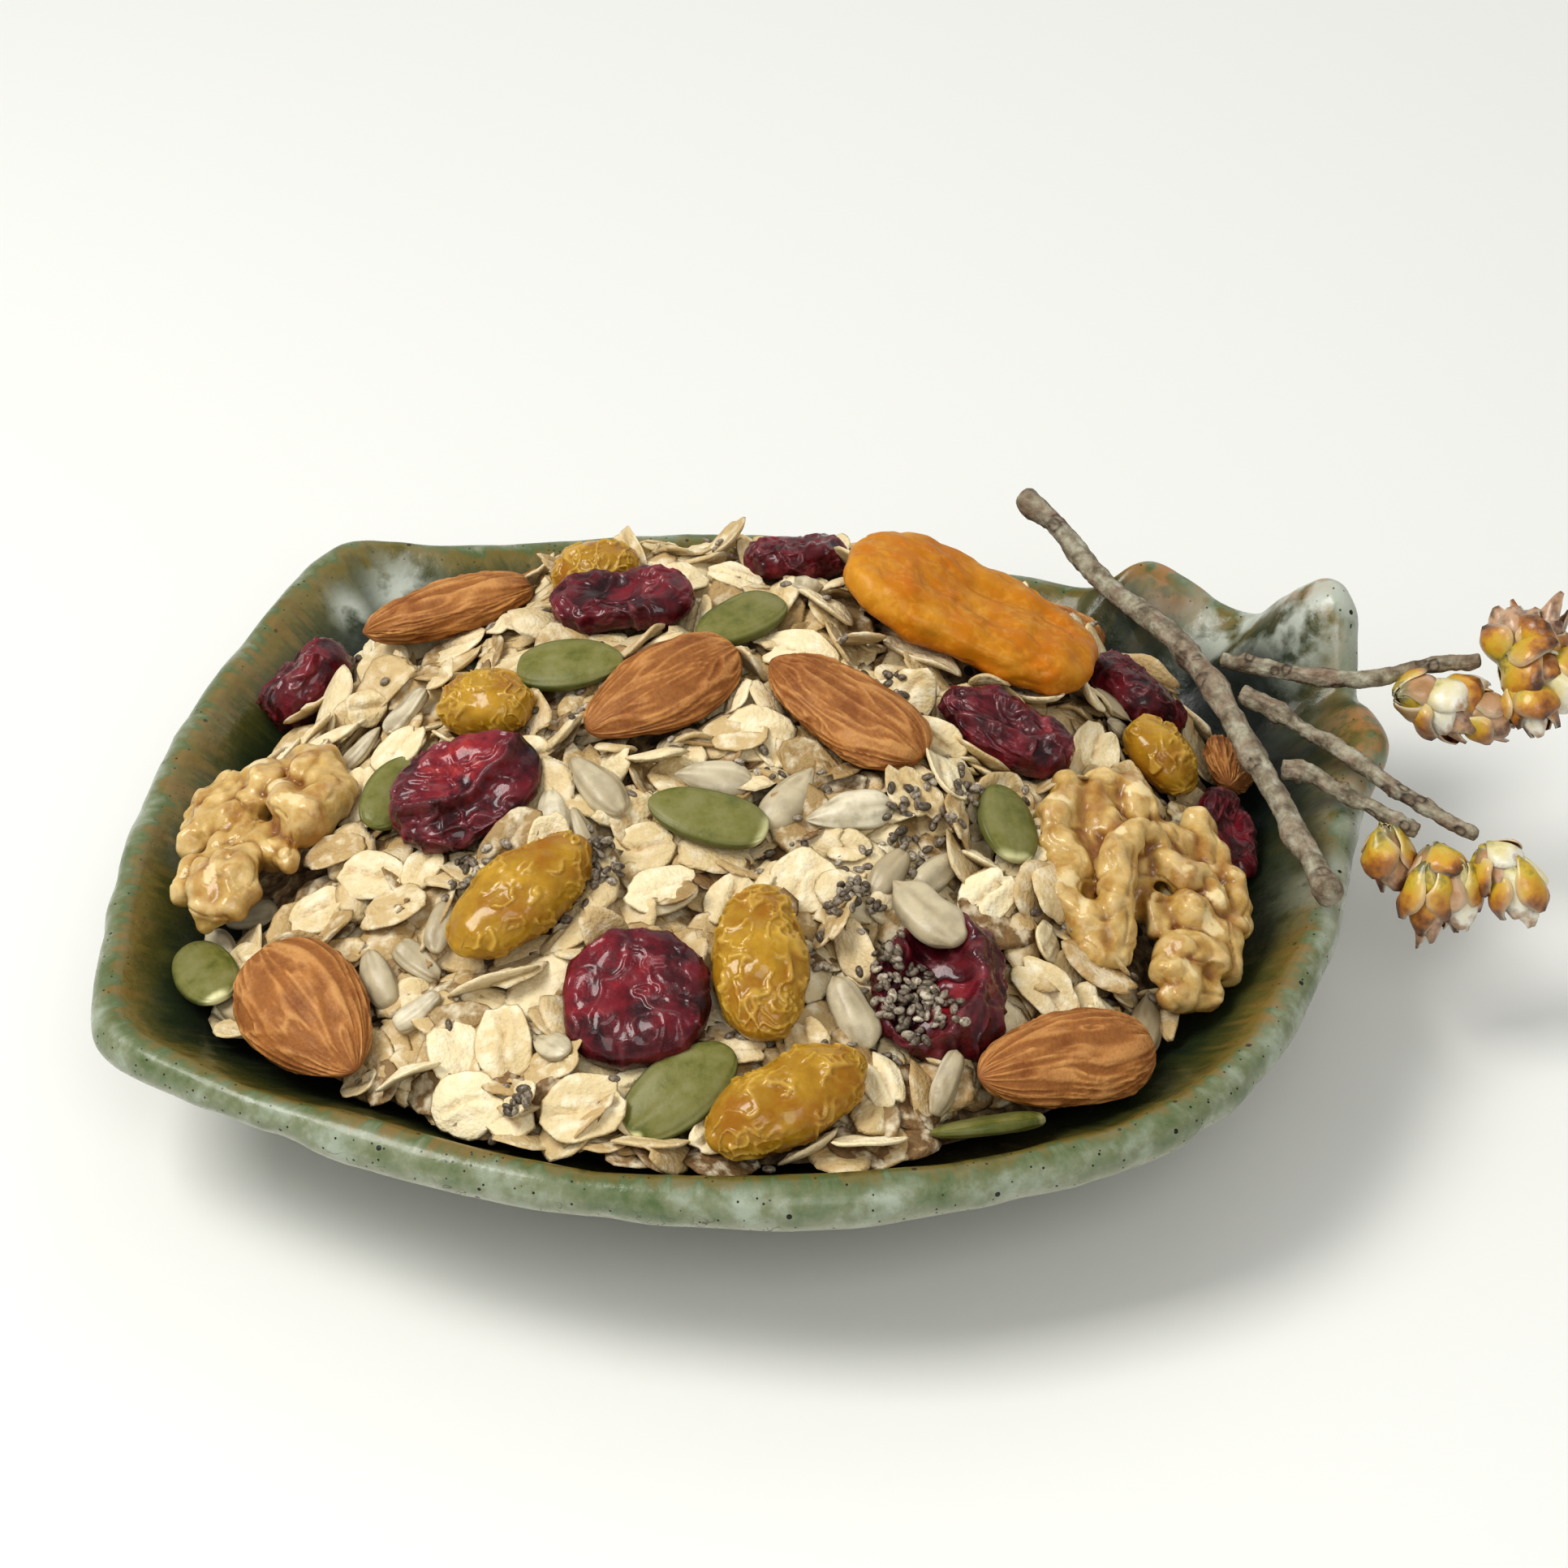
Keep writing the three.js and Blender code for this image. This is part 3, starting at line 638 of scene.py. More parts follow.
class Heap:
    """The outline of the heap as a height above each place, and the wall's inner radius at each height."""

    def __init__(self, form: DishForm) -> None:
        """Tabulates the heap's edge and the wall round the heap's centre.

        Args:
            form: The dish that it lies in.
        """
        edge = form.heap_edge(0.35)
        toward = edge[:, :2] - HEAP_CENTRE
        angle = np.arctan2(toward[:, 1], toward[:, 0])
        order = np.argsort(angle)
        self.angle, self.reach, self.edge = angle[order], np.linalg.norm(toward, axis=1)[order], edge[order,
                                                                                                      2]
        shares = np.linspace(0.4, 1, 60)[:, None]
        inner = form.wall(shares, WALL / 2)
        station = np.argsort(np.mod(form.angle, TURN))
        self.wall_angle = np.mod(form.angle, TURN)[station]
        self.wall_heights = np.linspace(FLOOR_HEIGHT, RIM_HEIGHT, 47)
        radius = np.hypot(inner[..., 0], inner[..., 1])
        self.wall_radius = np.stack([np.interp(self.wall_heights, inner[:, k, 2], radius[:, k])
                                     for k in station])
        self.radii = np.linspace(0, 100, 401)
        self.wall_top = np.stack([np.interp(self.radii, radius[:, k], inner[:, k, 2], right=-50)
                                  for k in station])

    def wall_height(self, x: Array, y: Array) -> Array:
        """The height of the wall's inner face at each place, and far down past the crest.

        Args:
            x: Places along x in millimetres.
            y: Places along y in millimetres.

        Returns:
            The heights in millimetres.
        """
        station = np.searchsorted(self.wall_angle, np.mod(np.arctan2(y, x), TURN)) % len(self.wall_angle)
        level = np.clip(np.hypot(x, y) / (self.radii[1] - self.radii[0]), 0, len(self.radii) - 1).astype(int)
        return self.wall_top[station, level]

    def share(self, x: Array, y: Array) -> Array:
        """How far each place is on the way from the heap's centre to its edge.

        Args:
            x: Places along x in millimetres.
            y: Places along y in millimetres.

        Returns:
            0 at the centre and 1 at the edge.
        """
        angle = np.arctan2(y - HEAP_CENTRE[1], x - HEAP_CENTRE[0])
        return np.hypot(x - HEAP_CENTRE[0], y - HEAP_CENTRE[1]) / np.interp(angle, self.angle, self.reach,
                                                                             period=TURN)

    def top(self, x: Array, y: Array) -> Array:
        """The height of its outline: a dome that falls from the centre as share^bulge, with low hummocks.

        Args:
            x: Places along x in millimetres.
            y: Places along y in millimetres.

        Returns:
            The heights in millimetres.
        """
        angle = np.arctan2(y - HEAP_CENTRE[1], x - HEAP_CENTRE[0])
        foot = np.interp(angle, self.angle, self.edge, period=TURN)
        share = np.minimum(self.share(x, y), 1)
        bulge = HEAP_BULGE[0] + (HEAP_BULGE[1] - HEAP_BULGE[0]) * np.maximum(np.sin(angle), 0) ** 2
        hummocks = HEAP_UNEVEN * np.sin(x / 7 + 1) * np.cos(y / 8) * (1 - share**4)
        return foot + (HEAP_HEIGHT - foot) * (1 - share**bulge) + hummocks

    def clear_of_wall(self, points: Array, gap: float) -> bool:
        """Whether all the points are inside the wall by at least the gap, or above the rim.

        Args:
            points: Points in millimetres.
            gap: The gap in millimetres.

        Returns:
            True where they are.
        """
        angle = np.mod(np.arctan2(points[:, 1], points[:, 0]), TURN)
        station = np.clip(np.searchsorted(self.wall_angle, angle), 0, len(self.wall_angle) - 1)
        step = self.wall_heights[1] - self.wall_heights[0]
        level = np.clip(((points[:, 2] - self.wall_heights[0]) / step).astype(int), 0, 46)
        radius = np.hypot(points[:, 0], points[:, 1])
        limit = self.wall_radius[station, level] - gap
        return bool(np.all((radius < limit) | (points[:, 2] > RIM_HEIGHT + 0.5)))


@dataclass(frozen=True)
class GlazeFinish:
    """A running glaze that breaks to ochre inside the rim, grows dark green further down inside and is pale
    outside.
    """

    moss: Colour = (0.175, 0.195, 0.11)
    leaf: Colour = (0.08, 0.12, 0.042)
    teal: Colour = (0.33, 0.37, 0.295)
    ochre: Colour = (0.15, 0.118, 0.03)
    umber: Colour = (0.21, 0.128, 0.033)
    olive: Colour = (0.072, 0.07, 0.017)
    green: Colour = (0.026, 0.036, 0.013)
    deep: Colour = (0.009, 0.015, 0.012)
    stone: Colour = (0.5, 0.49, 0.41)
    ash: Colour = (0.36, 0.365, 0.3)
    white: Colour = (0.46, 0.49, 0.43)
    rust: Colour = (0.36, 0.18, 0.068)
    speck: Colour = (0.012, 0.012, 0.008)

    def material(self, effects: Effects) -> Material:
        """Bands by distance from the crest that wander and run down the wall, under blotches and specks.

        Args:
            effects: The shared node groups.

        Returns:
            The material.
        """
        graph = Surface("glaze", Gloss(0.3, 0.18, 0.1, specular=0.32), effects)
        around = graph.add("CombineXYZ", {0: "round_x", 1: "round_y",
                                          2: graph.times("from_crest", 0.1 * MM)}).outputs[0]
        runs = graph.cloud(1.9, 4, around)
        wander = graph.patches(9, 3, 0.25, 0.75, -1.5, 1.5)
        wander = graph.plus(wander, graph.patches(2.6, 4, 0.25, 0.75, -1.0, 1.0))
        wander = graph.plus(wander, graph.times(graph.fit(runs, 0.3, 0.7, -2.1, 2.1), "inside"))
        along = graph.fit(graph.plus("from_crest", wander), -20, 30)
        bands = graph.ramp(along, [
            (0.0, self.ash), (0.16, self.ash), (0.22, self.stone), (0.34, self.stone), (0.37, self.teal),
            (0.405, self.moss), (0.436, self.leaf), (0.462, self.ochre), (0.485, self.ochre),
            (0.53, self.olive),
            (0.62, self.green), (0.75, self.deep), (1.0, self.deep),
        ])
        blotch = graph.mottle(6.5, self.leaf, self.moss, self.teal)
        colour = graph.mix(graph.times("mottled", 0.8), bands, blotch)
        warm = graph.times(graph.fit(runs, 0.5, 0.66), graph.patches(14, 2, 0.4, 0.6))
        colour = graph.mix(graph.times(warm, "streaked"), colour, self.ochre)
        ochre = graph.times("ochre", graph.fit(runs, 0.44, 0.58))
        colour = graph.mix(graph.times(ochre, 0.7), colour, self.umber)
        pale = graph.times("pale", graph.patches(5.0, 5, 0.38, 0.54))
        colour = graph.mix(pale, colour, self.white)
        rust = graph.times("rust", graph.patches(3.2, 5, 0.44, 0.56))
        colour = graph.mix(rust, colour, self.rust)
        craze = graph.math("ABSOLUTE", graph.math("SUBTRACT", graph.cloud(3.4, 2, distortion=0.4), 0.5))
        craze = graph.times(graph.fit(craze, 0.0, 0.012, 1.0, 0.0), graph.patches(6, 2, 0.5, 0.6))
        colour = graph.mix(graph.times(craze, "crazed"), colour, (0.05, 0.05, 0.035))
        for size, radius, share in ((0.8, 0.22, 0.16), (2.6, 0.14, 0.22)):
            dots = graph.times(graph.specks(size, radius, share), "specked")
            colour = graph.mix(dots, colour, self.speck)
        return graph.done(colour, (1.5, 0.35), graph.patches(3, 3, 0.3, 0.7, 0.22, 0.44))


@dataclass
class Dish:
    """The stoneware dish, one skin from the middle of the foot over the crest to the middle of the floor.

    Its spots say where the glaze lies thin or thick, and its dents where the rim is pressed: x, y and radius.
    """

    form: DishForm
    outer_rings: int = 46
    lip_rings: int = 16
    inner_rings: int = 52
    uneven: float = 0.55
    ripple: float = 0.16

    pale_spots: tuple = (
        (-50, 60.5, 4.5), (-57, 55.5, 3), (90, 40, 9), (83, 40, 9), (74, 47, 7), (90, 2, 6), (86, -14, 7),
    )
    rust_spots: tuple = ((60, 58, 5), (65, 55, 4.5), (92, 20, 6), (91, 11, 5), (84, 45, 4))
    ochre_spots: tuple = ((-82, -30, 16), (-74, 42, 20), (72, -44, 16), (-80, 10, 18), (-40, -69, 12),
                          (80, -28, 12))
    dents: tuple = ((-14.5, -77.5, 2.2), (-57, -62.5, 2.4), (38, -73.5, 2.0), (-85, -12, 2.2), (62, -60, 2.6))

    def build(self, effects: Effects) -> None:
        """Makes the dish's piece.

        Args:
            effects: The shared node groups.
        """
        form = self.form
        outer = form.wall(np.linspace(FOOT_EDGE + 0.02, 1, self.outer_rings)[:, None], -WALL / 2)
        turns = np.linspace(-math.pi / 2, math.pi / 2, self.lip_rings + 2)[1:-1, None]
        lip = form.wall(np.array([[1.0]]), WALL / 2, turns)
        inner = form.wall(np.linspace(1, FLAT_FLOOR + 0.02, self.inner_rings)[:, None], WALL / 2)
        foot = np.stack([self._flat(FOOT_EDGE, 0.0), self._flat(FOOT_EDGE + 0.015, FOOT_RISE)])
        rings = np.concatenate([self._flat(1e-4, 0.0)[None], foot, outer, lip, inner,
                                self._flat(1e-4, FLOOR_HEIGHT)[None]])
        crest = 3 + self.outer_rings + self.lip_rings // 2
        lengths = np.linalg.norm(np.diff(rings, axis=0), axis=2)
        along = np.concatenate([np.zeros((1, rings.shape[1])), np.cumsum(lengths, axis=0)])
        from_crest = along - along[crest]
        loose = smoothstep(3, 9, rings[..., 2]) * smoothstep(45, 30, np.abs(from_crest))
        waves = self.uneven * noise(rings, 15, 3, 2) + self.ripple * noise(rings, (4.5, 4.5, 7), 4, 2)
        waves -= 0.7 * self._near(rings, self.dents) * bell(from_crest + 3, 2.5)
        waves += 0.9 * bell(rings[..., 0], 55) * smoothstep(-45, -65, rings[..., 1]) * bell(from_crest - 4,
                                                                                            2.5)
        rings = raised(rings, waves * loose)
        marks = {
            "from_crest": from_crest,
            "inside": 0.2 + 0.8 * smoothstep(-1, 3, from_crest),
            "mottled": smoothstep(-6, -1.5, from_crest) * smoothstep(3.5, 0.5, from_crest),
            "ochre": self._near(rings, self.ochre_spots) * smoothstep(0.5, 3, from_crest)
            * smoothstep(10, 5, from_crest),
            "streaked": 0.7 * smoothstep(3, 6, from_crest) * smoothstep(20, 9, from_crest),
            "crazed": smoothstep(-0.5, -3, from_crest),
            "round_x": 75 * MM * np.cos(form.angle) + 0 * from_crest,
            "round_y": 75 * MM * np.sin(form.angle) + 0 * from_crest,
            "rust": self._near(rings, self.rust_spots),
            "pale": self._near(rings, self.pale_spots) * smoothstep(20, 12, np.abs(from_crest)),
            "specked": smoothstep(-14, -2, from_crest) * smoothstep(9, 1, from_crest) * 0.9 + 0.1,
        }
        make_piece("dish", shell_of_rings(rings, marks), GlazeFinish().material(effects), ["bowl"])

    def _flat(self, share: float, height: float) -> Array:
        """A level ring at a share of the way out.

        Args:
            share: The share of the way out.
            height: Its height in millimetres.

        Returns:
            The points of the ring.
        """
        radius, _ = self.form.middle(np.array(share))
        angle = self.form.angle
        return np.stack([radius * np.cos(angle), radius * np.sin(angle), np.full_like(angle, height)],
                        axis=-1)

    @staticmethod
    def _near(points: Array, spots: Sequence[tuple[float, float, float]]) -> Array:
        """The highest of the bells round the spots, each seen from above."""
        bells = [bell(np.hypot(points[..., 0] - x, points[..., 1] - y), radius) for x, y, radius in spots]
        return np.max(bells, axis=0)


# ------------------------------------------------------------------------------------------ poses of the food
# Straight down, and the slanting way in which the heap is seen best: nothing loose lies before food there.
WAYS_OF_SEEING = (np.array([0.0, 0.0, -1.0]), np.array([0.0, 0.8, -0.6]))


def axes_from(up: Array, heading: float) -> Array:
    """Three axes as rows: the heading, in radians, laid square to up, the way to its left, and up.

    Args:
        up: The upward direction, of length 1.
        heading: The heading seen from above.

    Returns:
        The axes, (3, 3).
    """
    ahead = np.array([math.cos(heading), math.sin(heading), 0.0])
    ahead -= up * (ahead @ up)
    ahead /= np.linalg.norm(ahead)
    return np.stack([ahead, np.cross(up, ahead), up])


def read(items: Items, name: str, width: int = 1, kind: type = np.int32) -> Array:
    """One property of all the items of a mesh in one flat array.

    Args:
        items: A mesh's vertices, faces or corners.
        name: The property.
        width: How many numbers each item has.
        kind: The type of the numbers.

    Returns:
        The numbers, item by item.
    """
    values = np.empty(width * len(items), kind)
    items.foreach_get(name, values)
    return values


@dataclass(frozen=True)
class Pose:
    """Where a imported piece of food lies: its middle, its axes as rows, and its half-sizes along them."""

    middle: Array
    axes: Array
    half: Array
    guard: float = 1.0

    @staticmethod
    def of(node: str, heading: float, guard: float = 1.0) -> "Pose":
        """Reads a pose from a node's points.

        The shortest of the points' own axes is up, and the heading is laid flat on the piece.

        Args:
            node: The node's name.
            heading: The direction of its butt end in degrees, seen from above.
            guard: How much of the room round it is kept free.

        Returns:
            The pose.
        """
        flat = read(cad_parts[node].data.vertices, "co", 3, np.float32)
        points = np.unique(np.round(flat.reshape(-1, 3) / MM, 3), axis=0)
        _, vectors = np.linalg.eigh(np.cov((points - points.mean(0)).T))
        up = vectors[:, 0] * np.sign(vectors[2, 0])
        axes = axes_from(up, math.radians(heading))
        local = points @ axes.T
        low, high = local.min(0), local.max(0)
        return Pose((low + high) / 2 @ axes, axes, (high - low) / 2, guard)

    def within(self, points: Array) -> Array:
        """How far each point is from the middle, as a share of the piece's oval."""
        return np.linalg.norm((points - self.middle) @ self.axes.T / self.half, axis=1)

    def hidden_by(self, points: Array, way: Array) -> bool:
        """Whether any of the points lies before the piece's oval, looking along the way.

        Args:
            points: Points in millimetres.
            way: The direction of the look.

        Returns:
            True where one does.
        """
        local = (points - self.middle) @ self.axes.T / self.half
        ahead = self.axes @ way / self.half
        along = -(local @ ahead) / (ahead @ ahead)
        return bool(np.any((along > 0) & (np.linalg.norm(local + along[:, None] * ahead, axis=1) < 0.78
                                          * self.guard)))

    def ways(self) -> tuple[Array, ...]:
        """The ways in which nothing may lie before the piece: only straight down where it faces the back."""
        return WAYS_OF_SEEING if self.axes[2] @ WAYS_OF_SEEING[1] < 0 else WAYS_OF_SEEING[:1]


def oval_grid(rings: int, around: int) -> tuple[Array, Array]:
    """The two angles of a grid on a ball: from the first pole, and round, each (rings, around)."""
    polar = (np.linspace(-1, 1, rings) + 1) / 2 * math.pi
    return np.meshgrid(polar, np.arange(around) / around * TURN, indexing="ij")


def lying_ball(rings: int, around: int) -> tuple[Array, Array, Array]:
    """A ball with its poles at the ends of x, as points, share of the way along and angle round.

    Args:
        rings: Rings from pole to pole.
        around: Points on a ring.

    Returns:
        The points, the shares and the angles.
    """
    polar, turn = oval_grid(rings, around)
    points = np.stack([-np.cos(polar), np.sin(polar) * np.cos(turn), np.sin(polar) * np.sin(turn)], axis=-1)
    return points, (1 - np.cos(polar)) / 2, turn


def upright_ball(rings: int, around: int) -> tuple[Array, Array, Array]:
    """A ball with its poles at the bottom and top, as points, share of the way up and angle round.

    Args:
        rings: Rings from pole to pole.
        around: Points on a ring.

    Returns:
        The points, the shares and the angles.
    """
    polar, turn = oval_grid(rings, around)
    points = np.stack([np.sin(polar) * np.cos(turn), np.sin(polar) * np.sin(turn), -np.cos(polar)], axis=-1)
    return points, (1 - np.cos(polar)) / 2, turn


def girth(share: Array, tip: float, butt: float) -> Array:
    """Half-width along a kernel: share^tip * (1 - share)^butt, 1 where it is widest."""
    widest = tip / (tip + butt)
    return share**tip * (1 - share) ** butt / (widest**tip * (1 - widest) ** butt)


# ------------------------------------------------------------------------------------------ almonds
@dataclass(frozen=True)
class AlmondFinish:
    """Dry brown skin, paler along its ridges as painted highlight, darker in its grooves as painted shade,
    and a dusty bloom.
    """

    # ridge is a painted highlight on the raised wrinkles, groove a painted shade in the grooves.
    ridge: Colour = (0.5, 0.255, 0.092)
    skin: Colour = (0.32, 0.134, 0.039)
    groove: Colour = (0.225, 0.085, 0.023)

    def material(self, effects: Effects) -> Material:
        """Colours by the height of the wrinkles, ridges paler as painted highlight and grooves darker as
        painted shade, with blotches of a redder brown.

        Args:
            effects: The shared node groups.

        Returns:
            The material.
        """
        graph = Surface("almond_skin", Gloss(0.5, specular=0.2), effects)
        level = graph.plus("wrinkle", graph.patches(0.5, 3, 0.3, 0.7, -0.08, 0.08))
        base = graph.ramp(level, [(0.1, self.groove), (0.4, self.skin), (0.85, self.ridge)])
        blotch = graph.mottle(6, (0.74, 0.62, 0.55), (1.0, 1.0, 1.0), (1.12, 1.1, 1.05))
        colour = graph.mix(1.0, base, blotch, "MULTIPLY")
        colour = graph.mix(graph.times("tip", 0.6), colour, (0.2, 0.07, 0.025))
        return graph.done(colour, (0.45, 0.35), graph.patches(1.2, 3, 0.3, 0.7, 0.38, 0.6))


@dataclass
class Almond:
    """One almond: a pointed kernel whose skin is wrinkled lengthwise."""

    name: str
    heading: float
    seed: int
    depth: float = 0.42

    def build(self, material: Material) -> None:
        """Makes the almond's piece. Two noises drawn out along it give raised folds that run from the tip.

        Args:
            material: The finish.
        """
        pose = Pose.of(self.name, self.heading)
        ball, share, turn = lying_ball(150, 132)
        width = girth(share, 0.6, 0.42)
        section = 1 - 0.1 * np.cos(turn) ** 4
        points = np.stack([ball[..., 0], width * np.cos(turn), width * np.sin(turn) * section],
                          axis=-1) * pose.half
        fan = np.stack([np.cos(turn) * 6.5, np.sin(turn) * 6.5, 26 * share + 3 * np.sin(2 * turn)], axis=-1)
        warp = noise(fan, (3, 3, 7), self.seed + 5)[..., None] * np.array([0.9, 0.9, 0.6])
        broad = noise(fan + warp, (1.05, 1.05, 9), self.seed)
        fine = noise(fan + warp, (0.7, 0.7, 6), self.seed + 9)
        line = 0.7 * bell(broad, 0.26) + 0.45 * bell(fine, 0.3) * smoothstep(-0.7, 0.1,
                                                                             noise(fan, 5, self.seed + 7))
        fade = smoothstep(0, 0.06, share) * smoothstep(1, 0.95, share)
        swell = 0.35 * noise(points, 8, self.seed + 2)
        rings = raised(points, (self.depth * (line - 0.4) + swell) * fade)
        # The wrinkle mark paints the ridges paler as highlight and the grooves darker as shade.
        marks = {"wrinkle": np.clip(0.22 + 0.7 * line, 0, 1), "tip": smoothstep(0.05, 0.0, share)}
        shell = shell_of_rings(rings, marks).moved(pose.axes, pose.middle)
        make_piece(self.name + "_skin", shell, material, [self.name])


# ------------------------------------------------------------------------------------------ cranberries
@dataclass(frozen=True)
class CranberryFinish:
    """Wet-looking dark red skin, nearly black in its folds and pits as painted shade, over bright red flesh.
    """

    # dark is the skin's darkest red, and also the painted shade laid in the hollows.
    dark: Colour = (0.018, 0.002, 0.004)
    skin: Colour = (0.072, 0.0045, 0.009)
    high: Colour = (0.16, 0.01, 0.02)
    flesh: Colour = (0.18, 0.009, 0.018)
    glow: Colour = (0.4, 0.035, 0.03)
    # The greyish pink of the painted sheen on the crests.
    painted_sheen: Colour = (0.27, 0.075, 0.085)

    def material(self, effects: Effects) -> Material:
        """Colours from skin to flesh by a mark, with darker skin in blotches, painted shade in the hollows
        and a painted sheen on the crests.

        Args:
            effects: The shared node groups.

        Returns:
            The material.
        """
        gloss = Gloss(0.3, 0.4, 0.08, specular=0.22, depth=0.12, radius=(1.0, 0.1, 0.08), reach=1.6)
        graph = Surface("cranberry_skin", gloss, effects)
        skin = graph.mottle(4.0, self.dark, self.skin, self.high)
        share = graph.plus("flesh", graph.patches(1.8, 4, 0.3, 0.7, -0.3, 0.3))
        colour = graph.mix(graph.fit(share, 0.25, 0.85), skin, self.flesh)
        colour = graph.mix(graph.fit(share, 0.85, 1.3, 0.0, 0.7), colour, self.glow)
        # Painted shade: the hollow mark darkens the pits and valleys towards the dark colour.
        colour = graph.mix(graph.fit("hollow", 0.2, 1.0, 0.0, 0.7), colour, self.dark)
        # Painted sheen: the crests are paled towards a greyish pink, as a highlight.
        painted_sheen = graph.times("crest", graph.patches(2.4, 2, 0.42, 0.6, 0.05, 0.55))
        colour = graph.mix(painted_sheen, colour, self.painted_sheen)
        return graph.done(colour, (0.6, 0.3), graph.patches(1.4, 3, 0.35, 0.65, 0.18, 0.42))


@dataclass(frozen=True)
class Fold:
    """A ridge across a cranberry: its angle in degrees, distance from the middle, rise, width and bend.

    One with a rise under 0 is a valley. The flesh shows to a ridge's left and to a valley's right.
    """

    angle: float
    offset: float
    rise: float
    width: float = 1.1
    bend: float = 0.0

    def across(self, points: Array) -> Array:
        """How far each point lies to the ridge's left, in millimetres, along its bent line.

        Args:
            points: Points in millimetres.

        Returns:
            The distances, less than 0 to its right.
        """
        turned = math.radians(self.angle)
        along = points[..., 0] * math.cos(turned) + points[..., 1] * math.sin(turned)
        side = -points[..., 0] * math.sin(turned) + points[..., 1] * math.cos(turned)
        return side - self.offset - self.bend * along**2


@dataclass
class Cranberry:
    """One dried cranberry: a sunken purse of wrinkled skin, and its flesh showing on top.

    Its glow is where the flesh shows: x and y as shares of its half-sizes, the radius, and how bright.
    """

    name: str
    heading: float
    seed: int
    glow: tuple[float, float, float, float] = (0.0, 0.0, 0.5, 0.6)
    folds: tuple[Fold, ...] = ()
    waist: float = 0.0
    rays: float = 1.0
    crinkled: float = 1.0
    sunk: float = 0.4
    plump: float = 1.0

    def build(self, material: Material) -> Shell:
        """Makes the cranberry's piece.

        Wrinkles run out from the sunken middle and along a winding net, and finer crinkles lie in patches.

        Args:
            material: The finish.

        Returns:
            Its shell.
        """
        pose = Pose.of(self.name, self.heading)
        ball, up, turn = upright_ball(136, 164)
        flat = np.sign(ball) * np.abs(ball) ** np.array([0.88, 0.88, 0.78])
        points = flat * pose.half * np.array([0.98, 0.98, 0.96 * self.plump])
        points[..., 1] *= 1 - self.waist * bell(ball[..., 0], 0.28)
        points[..., 2] -= self.waist * pose.half[2] * 0.8 * bell(ball[..., 0], 0.2) * smoothstep(0.4, 1, up)
        out = np.hypot(ball[..., 0], ball[..., 1])
        top = smoothstep(0.5, 0.75, up)
        warp = noise(points, 3.6, self.seed + 1, 2)
        bent = turn + 0.5 * noise(points, 5, self.seed + 10)
        fan = np.stack([6 * np.cos(bent), 6 * np.sin(bent), 7 * out + 2 * warp], axis=-1)
        rays = ridges(fan, (1.9, 1.9, 4.2), self.seed + 2, 0.2) * smoothstep(0.15, 0.4, out) * top
        rays = self.rays * rays * smoothstep(-0.5, 0.3, noise(points, 4, self.seed + 11))
        net = ridges(points + 1.8 * warp[..., None], 3.6, self.seed + 3, 0.12) * (0.35 + 0.65 * self.crinkled)
        patch = smoothstep(-0.2, 0.35, noise(points, 3.6, self.seed + 7)) * smoothstep(0.25, 0.5, up)
        crinkle = ridges(points + 0.9 * warp[..., None], (1.6, 1.6, 1.2), self.seed + 4, 0.26) * patch
        crinkle = self.crinkled * crinkle
        height = 0.34 * rays + 0.36 * net + 0.26 * crinkle + 0.22 * noise(points, 2.6, self.seed + 5)
        rings = raised(points, height + 0.7 * noise(points, 7.0, self.seed + 6))
        rings[..., 2] -= self.sunk * pose.half[2] * bell(out, 0.5) * top
        # The crest mark carries the painted sheen of the finish.
        crest = np.clip(0.8 * net + 0.6 * rays + 0.5 * crinkle, 0, 1)
        # Painted shade: the hollow mark darkens the pits between the wrinkles on top.
        hollow = top * smoothstep(0.05, -0.7, noise(points, 2.6, self.seed + 5)) * (1 - crest) * self.crinkled
        x, y, radius, bright = self.glow
        away = np.hypot(ball[..., 0] - x, ball[..., 1] - y) + 0.2 * noise(points, 3.4, self.seed + 9)
        flesh = bright * smoothstep(radius * 1.35, radius * 0.55, away) * top * (1 - 0.5 * hollow)
        for fold in self.folds:
            side = fold.across(points) + 0.5 * noise(points, 3, self.seed + 8)
            lip = bell(side, fold.width) * top * smoothstep(1.0, 0.85, out)
            rings[..., 2] += fold.rise * lip
            # A fold's ridge gets the painted sheen.
            crest = np.maximum(crest * (1 - lip), 0.7 * lip * (fold.rise > 0))
            # A valley's hollow mark is painted shade too.
            hollow = np.maximum(hollow, 0.8 * lip * (fold.rise < 0))
            flesh = flesh * (1 - 0.9 * lip) * smoothstep(-2.2 * fold.width, 0, side * np.sign(fold.rise))
        marks = {"flesh": np.clip(flesh, 0, 1), "crest": crest, "hollow": hollow}
        shell = shell_of_rings(rings, marks).moved(pose.axes, pose.middle)
        make_piece(self.name + "_skin", shell, material, [self.name])
        return shell


